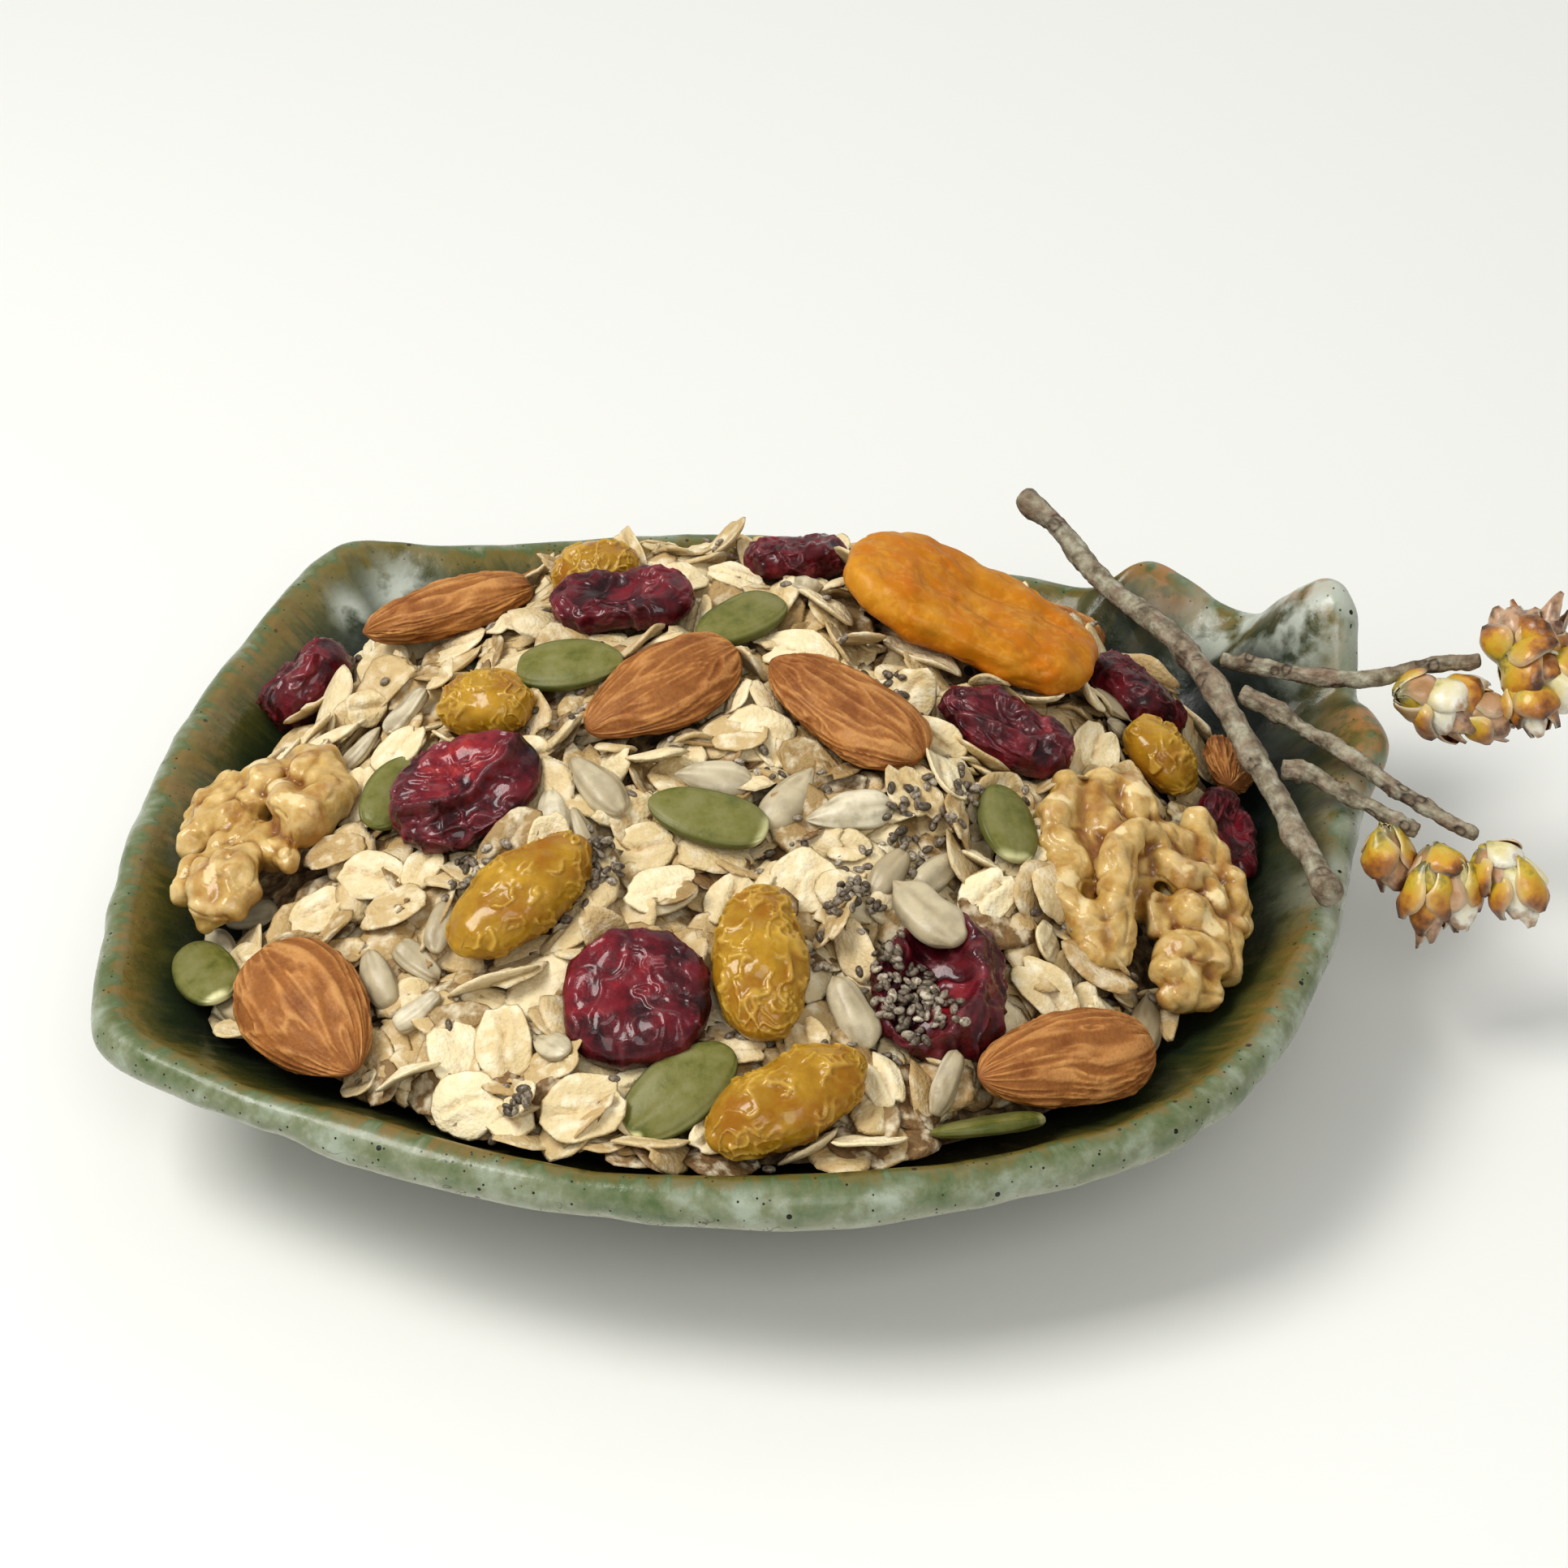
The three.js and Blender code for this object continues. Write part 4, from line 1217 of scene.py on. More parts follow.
# ------------------------------------------------------------------------------------------ golden raisins
@dataclass(frozen=True)
class RaisinFinish:
    """Clear amber skin, paler along its raised wrinkles as painted highlight, and more orange towards the
    bottom.
    """

    amber: Colour = (0.345, 0.185, 0.013)
    orange: Colour = (0.27, 0.1, 0.004)
    # line is the pale colour of the painted highlight on the raised wrinkles.
    line: Colour = (0.62, 0.42, 0.1)

    def material(self, effects: Effects) -> Material:
        """Colours by the raised lines, paler there as painted highlight, and by how low on the fruit a place
        is.

        Args:
            effects: The shared node groups.

        Returns:
            The material.
        """
        gloss = Gloss(0.3, 0.4, 0.07, specular=0.2, depth=0.3, radius=(1.0, 0.5, 0.06), reach=2.4)
        graph = Surface("golden_raisin_skin", gloss, effects)
        body = graph.mottle(5.5, (0.3, 0.125, 0.005), self.amber, (0.45, 0.26, 0.022))
        body = graph.mix(graph.times("low", 0.75), body, self.orange)
        # Painted highlight: the raised lines are paled.
        colour = graph.mix(graph.times("line", 0.5), body, self.line)
        return graph.done(colour, (0.9, 0.22), graph.patches(1.4, 3, 0.3, 0.7, 0.2, 0.38))


@dataclass
class GoldenRaisin:
    """One golden raisin: a plump oval under a net of thin raised wrinkles."""

    name: str
    heading: float
    seed: int
    height: float = 0.46

    def build(self, material: Material) -> None:
        """Makes the raisin's piece. The wrinkles follow zero lines of two noises, drawn out lengthwise.

        Args:
            material: The finish.
        """
        pose = Pose.of(self.name, self.heading)
        ball, share, turn = lying_ball(132, 132)
        width = girth(share, 0.46, 0.46)
        points = np.stack([ball[..., 0], width * np.cos(turn), width * np.sin(turn)], axis=-1) * pose.half
        warp = noise(points, 2.6, self.seed + 1, 2)[..., None] * 1.1
        long_lines = ridges(points + warp, (2.8, 1.9, 1.9), self.seed, 0.14)
        short_lines = ridges(points - 1.3 * warp, (1.7, 1.2, 1.2), self.seed + 2, 0.2)
        patches = smoothstep(-0.5, 0.3, noise(points, 3.5, self.seed + 3))
        breaks = smoothstep(-0.45, 0.1, noise(points, 2.4, self.seed + 6))
        line = np.clip(long_lines * breaks + 0.75 * short_lines * patches, 0, 1)
        dents = 0.45 * noise(points, 6, self.seed + 4) + 0.16 * noise(points, 2.2, self.seed + 5)
        fade = smoothstep(0, 0.05, share) * smoothstep(1, 0.95, share)
        rings = raised(points, (self.height * line + dents - 0.15) * fade)
        low = smoothstep(0.2, -0.8, points[..., 2] / pose.half[2])
        # The line mark carries the painted highlight on the wrinkles.
        shell = shell_of_rings(rings, {"line": line, "low": low}).moved(pose.axes, pose.middle)
        make_piece(self.name + "_skin", shell, material, [self.name])


# ------------------------------------------------------------------------------------------ the apricot
@dataclass(frozen=True)
class ApricotFinish:
    """Smooth orange flesh with a soft shine, yellower in blotches and deeper orange below as painted shade.
    """

    flesh: Colour = (0.465, 0.178, 0.006)
    # deep is the painted shade of the underside.
    deep: Colour = (0.42, 0.115, 0.002)
    pale: Colour = (0.55, 0.255, 0.02)

    def material(self, effects: Effects) -> Material:
        """Soft blotches of three oranges, deeper low down as painted shade on the underside.

        Args:
            effects: The shared node groups.

        Returns:
            The material.
        """
        gloss = Gloss(0.42, 0.1, 0.3, specular=0.22, depth=0.2, radius=(1.0, 0.42, 0.06), reach=3.0)
        graph = Surface("apricot_flesh", gloss, effects)
        body = graph.mottle(9, (0.48, 0.15, 0.003), self.flesh, self.pale)
        # Painted shade: the underside is deepened towards the darker orange.
        body = graph.mix(graph.times("low", 0.8), body, self.deep)
        streaks = graph.fit(graph.cloud(1.3, 4, distortion=0.6), 0.5, 0.72, 0.0, 0.25)
        colour = graph.mix(streaks, body, (0.8, 0.46, 0.08))
        return graph.done(colour, (1.2, 0.25), graph.patches(2.5, 3, 0.3, 0.7, 0.34, 0.52))


@dataclass
class Apricot:
    """The half-dried apricot: a thick folded disc, rounder at its left end, with a long crease on top."""

    name: str = "apricot"
    heading: float = -10.0

    def build(self, material: Material) -> None:
        """Makes the apricot's piece. Its rim is thick, its middle sinks, and a crease winds along its top.

        Args:
            material: The finish.
        """
        pose = Pose.of(self.name, self.heading)
        ball, up, _ = upright_ball(110, 170)
        flat = np.sign(ball) * np.abs(ball) ** np.array([0.88, 0.84, 0.68])
        points = flat * pose.half * np.array([1.0, 1.0, 0.96])
        along = ball[..., 0]
        top = smoothstep(0.5, 0.8, up)
        points[..., 2] += 0.12 * pose.half[2] * smoothstep(0.3, -0.9, along) * top
        wander = 1.6 * np.sin(points[..., 0] / 6.5 + 0.5) + 1.2
        crease = bell(points[..., 1] - wander, 1.5) * smoothstep(-0.25, 0.15, along) * smoothstep(0.95, 0.6,
                                                                                                  along)
        second = bell(points[..., 1] + 3.6 + 0.6 * np.sin(points[..., 0] / 5), 1.3) * smoothstep(0.55, 0.1,
                                                                                                 along)
        dent = bell(np.hypot(along + 0.05, ball[..., 1] * 1.2), 0.5)
        height = 0.5 * noise(points, 9, 61) + 0.32 * noise(points, 3.4, 62) + 0.1 * noise(points, 1.3, 63)
        height -= 0.2 * ridges(points + noise(points, 3, 65)[..., None], (5.5, 2.6, 2.6), 64, 0.14)
        rings = raised(points, height)
        rings[..., 2] -= top * (1.1 * dent + 0.8 * crease + 0.4 * second * smoothstep(-0.6, -0.2, along))
        # The low mark carries the painted shade of the underside.
        low = smoothstep(0.4, -0.9, points[..., 2] / pose.half[2])
        shell = shell_of_rings(rings, {"low": low}).moved(pose.axes, pose.middle)
        make_piece("apricot_half", shell, material, [self.name])


# ------------------------------------------------------------------------------------------ pumpkin seeds
@dataclass(frozen=True)
class PumpkinFinish:
    """Smooth green seed skin, greyer on its face, darker at its edge, with fine lengthwise streaks."""

    face: Colour = (0.165, 0.16, 0.042)
    green: Colour = (0.1, 0.11, 0.022)
    edge: Colour = (0.05, 0.062, 0.012)

    def material(self, effects: Effects) -> Material:
        """Face, green and edge by the mark of the rim, with streaks along the seed.

        Args:
            effects: The shared node groups.

        Returns:
            The material.
        """
        graph = Surface("pumpkin_seed_skin", Gloss(0.38, 0.08, 0.25, specular=0.22), effects)
        body = graph.mottle(4, self.green, self.face, (0.205, 0.195, 0.075), 0.02)
        colour = graph.mix("edge", body, self.edge)
        colour = graph.mix(graph.times("streak", 0.1), colour, (0.32, 0.32, 0.13))
        colour = graph.mix("chip", colour, (0.62, 0.6, 0.33))
        return graph.done(colour, (0.7, 0.18), graph.patches(2, 3, 0.3, 0.7, 0.32, 0.5))


@dataclass
class PumpkinSeed:
    """One hulled pumpkin seed: a flat drop with a fine bead round its edge and a chipped pale end."""

    name: str
    heading: float
    seed: int
    chip: float = 0.5

    def build(self, material: Material) -> Shell:
        """Makes the seed's piece. Its face is a low dome that meets the bead in a shallow groove.

        Args:
            material: The finish.

        Returns:
            Its shell.
        """
        pose = Pose.of(self.name, self.heading)
        ball, share, turn = lying_ball(72, 80)
        width = girth(share, 0.52, 0.42)
        side = np.cos(turn)
        face = np.sign(np.sin(turn)) * np.abs(np.sin(turn)) ** 0.75
        points = np.stack([ball[..., 0], width * side, width**0.8 * face], axis=-1) * pose.half
        rim = np.abs(side)
        bead = bell(rim - 0.97, 0.05)
        groove = bell(rim - 0.86, 0.07)
        crease = bell(side - 0.06 * np.sin(3 * ball[..., 0]), 0.1) * smoothstep(0.1, 0.4, share)
        streak = np.clip(noise(np.stack([share * 14, side * 9, np.sin(turn)], axis=-1), (9, 0.8, 3),
                               self.seed), 0, 1)
        height = 0.09 * bead - 0.06 * groove - 0.06 * crease + 0.16 * noise(points, 5, self.seed + 1)
        rings = raised(points, height * smoothstep(0, 0.05, share) * smoothstep(1, 0.95, share))
        chip = smoothstep(1 - 0.1 * self.chip, 1, share + 0.03 * noise(points, 1.5, self.seed + 2))
        marks = {"edge": 0.45 * smoothstep(0.84, 0.97, rim), "streak": streak * (1 - bead), "chip": chip}
        shell = shell_of_rings(rings, marks).moved(pose.axes, pose.middle)
        make_piece(self.name + "_skin", shell, material, [self.name])
        return shell


# ------------------------------------------------------------------------------------------ walnuts
@dataclass(frozen=True)
class WalnutFinish:
    """Oily tan skin, pale on the tops of the lobes where it is rubbed off and as painted highlight, and
    red-brown in the folds, partly as painted shade.
    """

    skin: Colour = (0.44, 0.27, 0.07)
    rubbed: Colour = (0.68, 0.53, 0.27)
    fold: Colour = (0.22, 0.085, 0.014)

    def material(self, effects: Effects) -> Material:
        """Colours by how hollow a place is, darker in the folds partly as painted shade, with worn patches of
        noise on the high ones that are partly painted highlight.

        Args:
            effects: The shared node groups.

        Returns:
            The material.
        """
        gloss = Gloss(0.34, 0.45, 0.12, specular=0.28, depth=0.35, radius=(1.0, 0.55, 0.12), reach=2.0)
        graph = Surface("walnut_skin", gloss, effects)
        skin = graph.mottle(4.5, (0.34, 0.155, 0.026), self.skin, (0.58, 0.4, 0.15))
        # Darker fold colour in the hollows: real darker skin and painted shade.
        colour = graph.mix(graph.fit("hollow", 0.0, 0.42), skin, self.fold)
        # Pale patches on the high places: rubbed skin and painted highlight.
        pale = graph.times("worn", graph.patches(2.0, 4, 0.4, 0.56, 0.3, 1.0))
        colour = graph.mix(pale, colour, self.rubbed)
        colour = graph.mix(graph.times("cut", 0.85), colour, (0.74, 0.6, 0.34))
        return graph.done(colour, (0.7, 0.3), graph.patches(1.5, 3, 0.3, 0.7, 0.28, 0.5))


@dataclass
class Walnut:
    """One walnut half: rounded lobes that run into each other over a smooth bridge.

    Each lobe is a chain of balls, [x, y, z, radius] in millimetres, with x to the heading and y to its left.
    """

    name: str
    heading: float
    lobes: tuple[tuple[tuple[float, float, float, float], ...], ...]
    cuts: tuple[tuple[float, float, float], ...] = ()
    voxel: float = 0.38
    seed: int = 0

    def build(self, material: Material) -> None:
        """Makes the walnut's piece: the lobes' skins are fused by a voxel remesh, smoothed and wrinkled.

        Args:
            material: The finish.
        """
        pose = Pose.of(self.name, self.heading)
        base = pose.middle - pose.axes[2] * 0.15 * pose.half[2]
        fused = self._fused(Shell.joined([self._lobe(chain, k) for k, chain in enumerate(self.lobes)]))
        points, quads, tris = fused.points, fused.quads, fused.tris
        edges = np.concatenate([quads[:, [0, 1]], quads[:, [1, 2]], quads[:, [2, 3]], quads[:, [3, 0]],
                                tris[:, [0, 1]], tris[:, [1, 2]], tris[:, [2, 0]]])
        points = self._smoothed(points, edges, 3)
        normals = self._normals(points, quads, tris)
        hollow = np.einsum("ij,ij->i", self._smoothed(points, edges, 10) - points, normals)
        vein = ridges(points + noise(points, 4, self.seed + 4)[:, None], 3.6, self.seed + 3, 0.1)
        wrinkle = 0.5 * noise(points, 3.0, self.seed + 1) + 0.24 * noise(points, 1.5,
                                                                         self.seed + 2) - 0.35 * vein
        ragged = 1.5 * noise(points, 1.9, self.seed + 5, 2)
        cut = np.max([bell(np.hypot(points[:, 0] - x, points[:, 1] - y) + ragged, 1.5 * radius) ** 2
                      for x, y, radius in self.cuts], axis=0) * (normals[:, 2] > 0)
        points = points + normals * (wrinkle * (1 - cut))[:, None]
        # hollow marks the folds for partly painted shade; worn marks the upper lobe tops for rubbed skin and
        # painted highlight.
        marks = {
            "hollow": np.clip(hollow / 0.5 + 0.25 * vein, 0, 1),
            "worn": np.clip(-hollow / 0.26, 0, 1) * smoothstep(-2, 2, points[:, 2]),
            "cut": smoothstep(0.45, 0.6, cut),
        }
        shell = Shell(points, quads, tris, marks).moved(pose.axes, base)
        make_piece(self.name + "_kernel", shell, material, [self.name])

    def _lobe(self, chain: Sequence[tuple[float, float, float, float]], index: int) -> Shell:
        """A tube of rings round the chain's middle line, as wide as its balls, with a round end each side.

        Args:
            chain: The lobe's balls.
            index: Its place among the lobes.

        Returns:
            The closed tube.
        """
        knots = np.array(chain, float)
        if len(knots) == 1:
            knots = np.concatenate([knots, knots]) + np.array([[-0.2, 0, 0, 0], [0.2, 0, 0, 0]])
        t = np.linspace(0, 1, 10 * len(knots))
        line = np.stack([np.interp(t, np.linspace(0, 1, len(knots)), knots[:, k]) for k in range(4)], axis=1)
        along = np.gradient(line[:, :3], axis=0)
        along /= np.linalg.norm(along, axis=1, keepdims=True) + 1e-9
        cap = np.linspace(0, math.pi / 2, 7)
        start = line[0, :3] - along[0] * line[0, 3] * np.cos(cap[:-1])[:, None]
        end = line[-1, :3] + along[-1] * line[-1, 3] * np.cos(cap[:-1][::-1])[:, None]
        centres = np.concatenate([start, line[:, :3], end])
        radii = np.concatenate([line[0, 3] * np.sin(cap[:-1]), line[:, 3],
                                line[-1, 3] * np.sin(cap[:-1][::-1])])
        ways = np.concatenate([np.repeat(along[:1], 6, 0), along, np.repeat(along[-1:], 6, 0)])
        side = np.cross(ways, np.array([0.1, 0.2, 1.0]))
        side /= np.linalg.norm(side, axis=1, keepdims=True)
        over = np.cross(ways, side)
        turn = np.arange(26) / 26 * TURN
        rings = (centres[:, None] + radii[:, None, None]
                 * (side[:, None] * np.cos(turn)[None, :, None] + over[:, None]
                    * np.sin(turn)[None, :, None]))
        lumps = 0.45 * noise(rings, 4.2, self.seed + 20 + index) + 0.3 * noise(rings, 2.2,
                                                                               self.seed + 50 + index)
        return shell_of_rings(raised(rings, lumps))

    def _fused(self, shell: Shell) -> Shell:
        """One skin round all the overlapping ones, by Blender's voxel remesh.

        Args:
            shell: The overlapping shells as one.

        Returns:
            The fused shell.
        """
        mesh = bpy.data.meshes.new("lobes")
        faces = [tuple(face) for face in shell.quads.tolist()] + [tuple(face) for face in shell.tris.tolist()]
        mesh.from_pydata(shell.points.tolist(), [], faces)
        lump = bpy.data.objects.new("lobes", mesh)
        bpy.context.scene.collection.objects.link(lump)
        remesh = lump.modifiers.new("fuse", "REMESH")
        remesh.mode = "VOXEL"
        remesh.voxel_size = self.voxel
        result = lump.evaluated_get(bpy.context.evaluated_depsgraph_get()).to_mesh()
        points = read(result.vertices, "co", 3, np.float32)
        totals = read(result.polygons, "loop_total")
        corners = read(result.loops, "vertex_index")
        starts = np.cumsum(totals) - totals
        quads = corners[starts[totals == 4][:, None] + np.arange(4)]
        tris = corners[starts[totals == 3][:, None] + np.arange(3)]
        bpy.data.objects.remove(lump)
        return Shell(points.reshape(-1, 3).astype(float), quads, tris)

    @staticmethod
    def _smoothed(points: Array, edges: Array, rounds: int) -> Array:
        """Each point moved to the mean of its neighbours, several times over.

        Args:
            points: Points, (n, 3).
            edges: The two ends of each edge.
            rounds: How many times.

        Returns:
            The moved points.
        """
        count = np.bincount(edges.ravel(), minlength=len(points))[:, None]
        for _ in range(rounds):
            total = np.zeros_like(points)
            for axis in range(3):
                total[:, axis] = (np.bincount(edges[:, 0], points[edges[:, 1], axis], len(points))
                                  + np.bincount(edges[:, 1], points[edges[:, 0], axis], len(points)))
            points = total / np.maximum(count, 1)
        return points

    @staticmethod
    def _normals(points: Array, quads: Array, tris: Array) -> Array:
        """The outward direction at each point: the sum of its faces' own.

        Args:
            points: Points, (n, 3).
            quads: Faces of four corners.
            tris: Faces of three corners.

        Returns:
            A direction of length 1 for each point.
        """
        total = np.zeros_like(points)
        for faces in (quads, tris):
            across = np.cross(points[faces[:, 1]] - points[faces[:, 0]],
                              points[faces[:, 2]] - points[faces[:, 0]])
            for corner in range(faces.shape[1]):
                for axis in range(3):
                    total[:, axis] += np.bincount(faces[:, corner], across[:, axis], len(points))
        return total / (np.linalg.norm(total, axis=1, keepdims=True) + 1e-12)


# ------------------------------------------------------------------------------------------ the heap
@dataclass(frozen=True)
class OatFinish:
    """Dry cream flakes, each its own tint, darker in the lower layers as painted shade, browner at the crease
    and whiter where they are floury.
    """

    cream: Colour = (0.63, 0.495, 0.27)
    floury: Colour = (0.86, 0.79, 0.6)
    bran: Colour = (0.38, 0.2, 0.065)

    def material(self, effects: Effects) -> Material:
        """Colours by each flake's own tint, with floury patches and a brown crease.

        Args:
            effects: The shared node groups.

        Returns:
            The material.
        """
        graph = Surface("oat_flake", Gloss(0.6, specular=0.35), effects)
        # The dark brown low end of the ramp is the painted shade of the lower layers.
        own = graph.ramp("tint", [
            (0.0, (0.17, 0.1, 0.042)), (0.3, (0.46, 0.32, 0.145)), (0.6, self.cream),
            (1.0, (0.8, 0.69, 0.45))])
        colour = graph.mix(graph.patches(2.2, 4, 0.48, 0.66, 0.0, 0.7), own, self.floury)
        brown = graph.times("crease", graph.patches(1.1, 3, 0.38, 0.6))
        colour = graph.mix(graph.times(brown, 0.62), colour, self.bran)
        return graph.done(colour, (0.6, 0.75))


@dataclass(frozen=True)
class KernelFinish:
    """Smooth grey-white sunflower kernels with faint streaks."""

    def material(self, effects: Effects) -> Material:
        """A warm grey white by each kernel's tint, streaked along it.

        Args:
            effects: The shared node groups.

        Returns:
            The material.
        """
        gloss = Gloss(0.42, 0.12, 0.3, depth=0.12, radius=(1.0, 0.85, 0.6), reach=1.4)
        graph = Surface("sunflower_kernel", gloss, effects)
        own = graph.ramp("tint", [(0.0, (0.38, 0.3, 0.18)), (0.5, (0.54, 0.47, 0.32)),
                                              (1.0, (0.7, 0.64, 0.48))])
        colour = graph.mix(graph.patches(2.6, 4, 0.45, 0.65, 0.0, 0.7), own, (0.36, 0.31, 0.21))
        colour = graph.mix(graph.times("streak", 0.65), colour, (0.26, 0.19, 0.1))
        return graph.done(colour, (0.7, 0.18))


@dataclass(frozen=True)
class ChiaFinish:
    """Small glossy seeds, mottled grey, brown and black, a few of them pale."""

    def material(self, effects: Effects) -> Material:
        """Each seed's own grey, with dark blotches.

        Args:
            effects: The shared node groups.

        Returns:
            The material.
        """
        graph = Surface("chia_seed", Gloss(0.36, 0.12, 0.2, specular=0.35), effects)
        own = graph.ramp("tint", [(0.0, (0.1, 0.078, 0.054)), (0.6, (0.24, 0.195, 0.145)),
                                              (0.92, (0.38, 0.33, 0.26)), (1.0, (0.56, 0.49, 0.38))])
        blotch = graph.patches(0.45, 2, 0.46, 0.58)
        colour = graph.mix(blotch, own, graph.mix(1.0, own, (0.5, 0.46, 0.42), "MULTIPLY"))
        return graph.done(colour)


@dataclass(frozen=True)
class CoreFinish:
    """What shows in the gaps between the flakes: shadowed crumbs of oat, bran and seeds."""

    def material(self, effects: Effects) -> Material:
        """Brown to cream blotches with dark seeds.

        Args:
            effects: The shared node groups.

        Returns:
            The material.
        """
        graph = Surface("heap_core", Gloss(0.8), effects)
        colour = graph.mottle(2.2, (0.1, 0.055, 0.025), (0.3, 0.19, 0.09), (0.6, 0.47, 0.27), -0.03)
        seeds = graph.specks(2.2, 0.36, 0.4)
        mixed = graph.mix(seeds, colour, (0.05, 0.045, 0.04))
        return graph.done(mixed, (1.2, 0.8))


class Pile:
    """The heap as it grows: a height map that loose things are laid on one by one."""

    step = 0.5
    span = 92.0

    def __init__(self, heap: Heap, poses: dict[str, Pose], sunk: float) -> None:
        """Starts from the core.

        Args:
            heap: The outline that the pile grows up to.
            poses: The food that it has to leave room for.
            sunk: How far the core lies under the outline.
        """
        self.heap = heap
        axis = np.arange(-self.span, self.span, self.step)
        self.x, self.y = np.meshgrid(axis, axis, indexing="ij")
        front = bell(self.x + 4, 50) * smoothstep(-20, -50, self.y)
        self.goal = heap.top(self.x, self.y) + 4.2 * front * smoothstep(0.7, 0.97, heap.share(self.x, self.y))
        wall = heap.wall_height(self.x, self.y) + 0.25
        self.inside = (wall > 0) & (self.goal > wall + 0.5)
        self.by_rim = (self.y < -30) & (heap.share(self.x, self.y) > 0.84)
        core = np.where(heap.share(self.x, self.y) < 0.97, self.goal - sunk, -50.0)
        self.height = np.maximum(core, wall)
        self.covered = np.zeros_like(self.inside)
        self.poses: dict[str, Pose] = {}
        for name, pose in poses.items():
            self.reserve(name, pose)

    def reserve(self, name: str, pose: Pose) -> None:
        """Keeps the room that a piece takes, and the sight of it, free of what is laid later.

        Args:
            name: The piece's name.
            pose: Where it lies.
        """
        self.poses[name] = pose
        cells = np.stack([self.x, self.y, self.goal], axis=-1).reshape(-1, 3)
        flat = (cells - pose.middle) @ pose.axes.T / pose.half
        self.covered |= (np.hypot(flat[:, 0], flat[:, 1]) < 0.82).reshape(self.x.shape)

    def half_bury(self, name: str, skin: Shell) -> None:
        """Lets what is laid later lie on a piece, whose room is no longer kept."""
        self.poses.pop(name)
        self.cover(skin.points)

    def cell(self, x: Array, y: Array) -> tuple[Array, Array]:
        """The height map's indices at places in millimetres.

        Args:
            x: Places along x in millimetres.
            y: Places along y in millimetres.

        Returns:
            The indices along x and along y.
        """
        limit = self.x.shape[0] - 1
        return (np.clip(((x + self.span) / self.step + 0.5).astype(int), 0, limit),
                np.clip(((y + self.span) / self.step + 0.5).astype(int), 0, limit))

    def deep_place(self, rng: Random, tries: int, rim: bool = False) -> Array:
        """Of several random places inside the heap, the one furthest under the outline.

        Args:
            rng: Where the random places come from.
            tries: How many.
            rim: Whether they all lie beside the rim at the front.

        Returns:
            Its x and y.
        """
        free = np.argwhere(self.inside & ~self.covered & (self.by_rim if rim else True))
        picks = free[rng.integers(len(free), size=tries)]
        missing = (self.goal - self.height)[picks[:, 0], picks[:, 1]]
        best = picks[np.argmax(missing)]
        jitter = rng.uniform(-0.25, 0.25, 2)
        return np.array([self.x[tuple(best)], self.y[tuple(best)]]) + jitter

    def lean(self, x: float, y: float, reach: float) -> Array:
        """The pile's upward direction at a place, from the heights at a distance on four sides of it.

        Args:
            x: The place along x in millimetres.
            y: The place along y in millimetres.
            reach: The distance in millimetres.

        Returns:
            A direction of length 1.
        """
        xs = x + reach * np.array([-1, 1, 0, 0])
        ys = y + reach * np.array([0, 0, -1, 1])
        height = self.height[self.cell(xs, ys)]
        goal = self.goal[self.cell(xs, ys)]
        height = 0.5 * np.maximum(height, goal - 8) + 0.5 * goal
        up = np.array([height[0] - height[1], height[2] - height[3], 2 * reach])
        return up / np.linalg.norm(up)

    def settle(self, points: Array, give: float, above: float) -> Optional[Array]:
        """Lifts a thing until it lies on the pile.

        Args:
            points: The thing's points, with its own place in x and y and any height.
            give: The share of its points that may sink into what is under them.
            above: How far over the outline it may reach, in millimetres.

        Returns:
            The lifted points, or None where it would stand too high, cut the food or reach the wall.
        """
        under = self.height[self.cell(points[:, 0], points[:, 1])]
        rise = np.quantile(under - points[:, 2], 1 - give)
        placed = points + np.array([0, 0, rise])
        goal = self.goal[self.cell(points[:, 0], points[:, 1])]
        if under.min() < -20 or np.quantile(placed[:, 2] - goal, 0.7) > above:
            return None
        if not self.heap.clear_of_wall(placed, 0.05):
            return None
        middle = placed.mean(0)
        for pose in self.poses.values():
            if np.linalg.norm(pose.middle - middle) > pose.half.max() + 14:
                continue
            if pose.within(placed).min() < 0.92 * pose.guard or any(pose.hidden_by(placed, way)
                                                                    for way in pose.ways()):
                return None
        return placed

    def cover(self, points: Array) -> None:
        """Raises the pile to these points."""
        np.maximum.at(self.height, self.cell(points[:, 0], points[:, 1]), points[:, 2])

    def place(self, shell: Shell, spot: Array, facing: float, heading: float, rng: Random,
              name: str) -> Optional[Array]:
        """Lays a chosen thing on the pile, close to its spot, and keeps its room.

        Args:
            shell: The thing, lying flat about the origin.
            spot: Its x and y.
            facing: How far it turns from the pile's own lean to the side from which the heap is seen best.
            heading: Its direction in degrees.
            rng: Where the small moves that find it a free spot come from.
            name: What it is called while it keeps its room.

        Returns:
            Its points, or None where no spot near is free.
        """
        for attempt in range(14):
            x, y = spot + rng.normal(0, 0.25 * attempt, 2)
            up = self.lean(x, y, 4.0) - facing * WAYS_OF_SEEING[1]
            axes = axes_from(up / np.linalg.norm(up), math.radians(heading))
            points = self.settle(shell.points @ axes + np.array([x, y, 0]), 0.1, 7.0)
            if points is not None:
                self.cover(points)
                self.reserve(name, Pose(points.mean(0), axes, np.ptp(shell.points, axis=0) / 2))
                return points
        return None


class FlakeKind(Enum):
    """The flakes' builds: half-length, half-width, how cupped, how far the ends curl, in millimetres."""

    WHOLE = (4.9, 3.8, 0.7, 0.3)
    NARROW = (5.1, 2.9, 1.0, 0.5)
    CURLED = (4.6, 3.4, 1.6, -0.9)
    BROKEN = (3.3, 2.7, 0.6, 0.5)


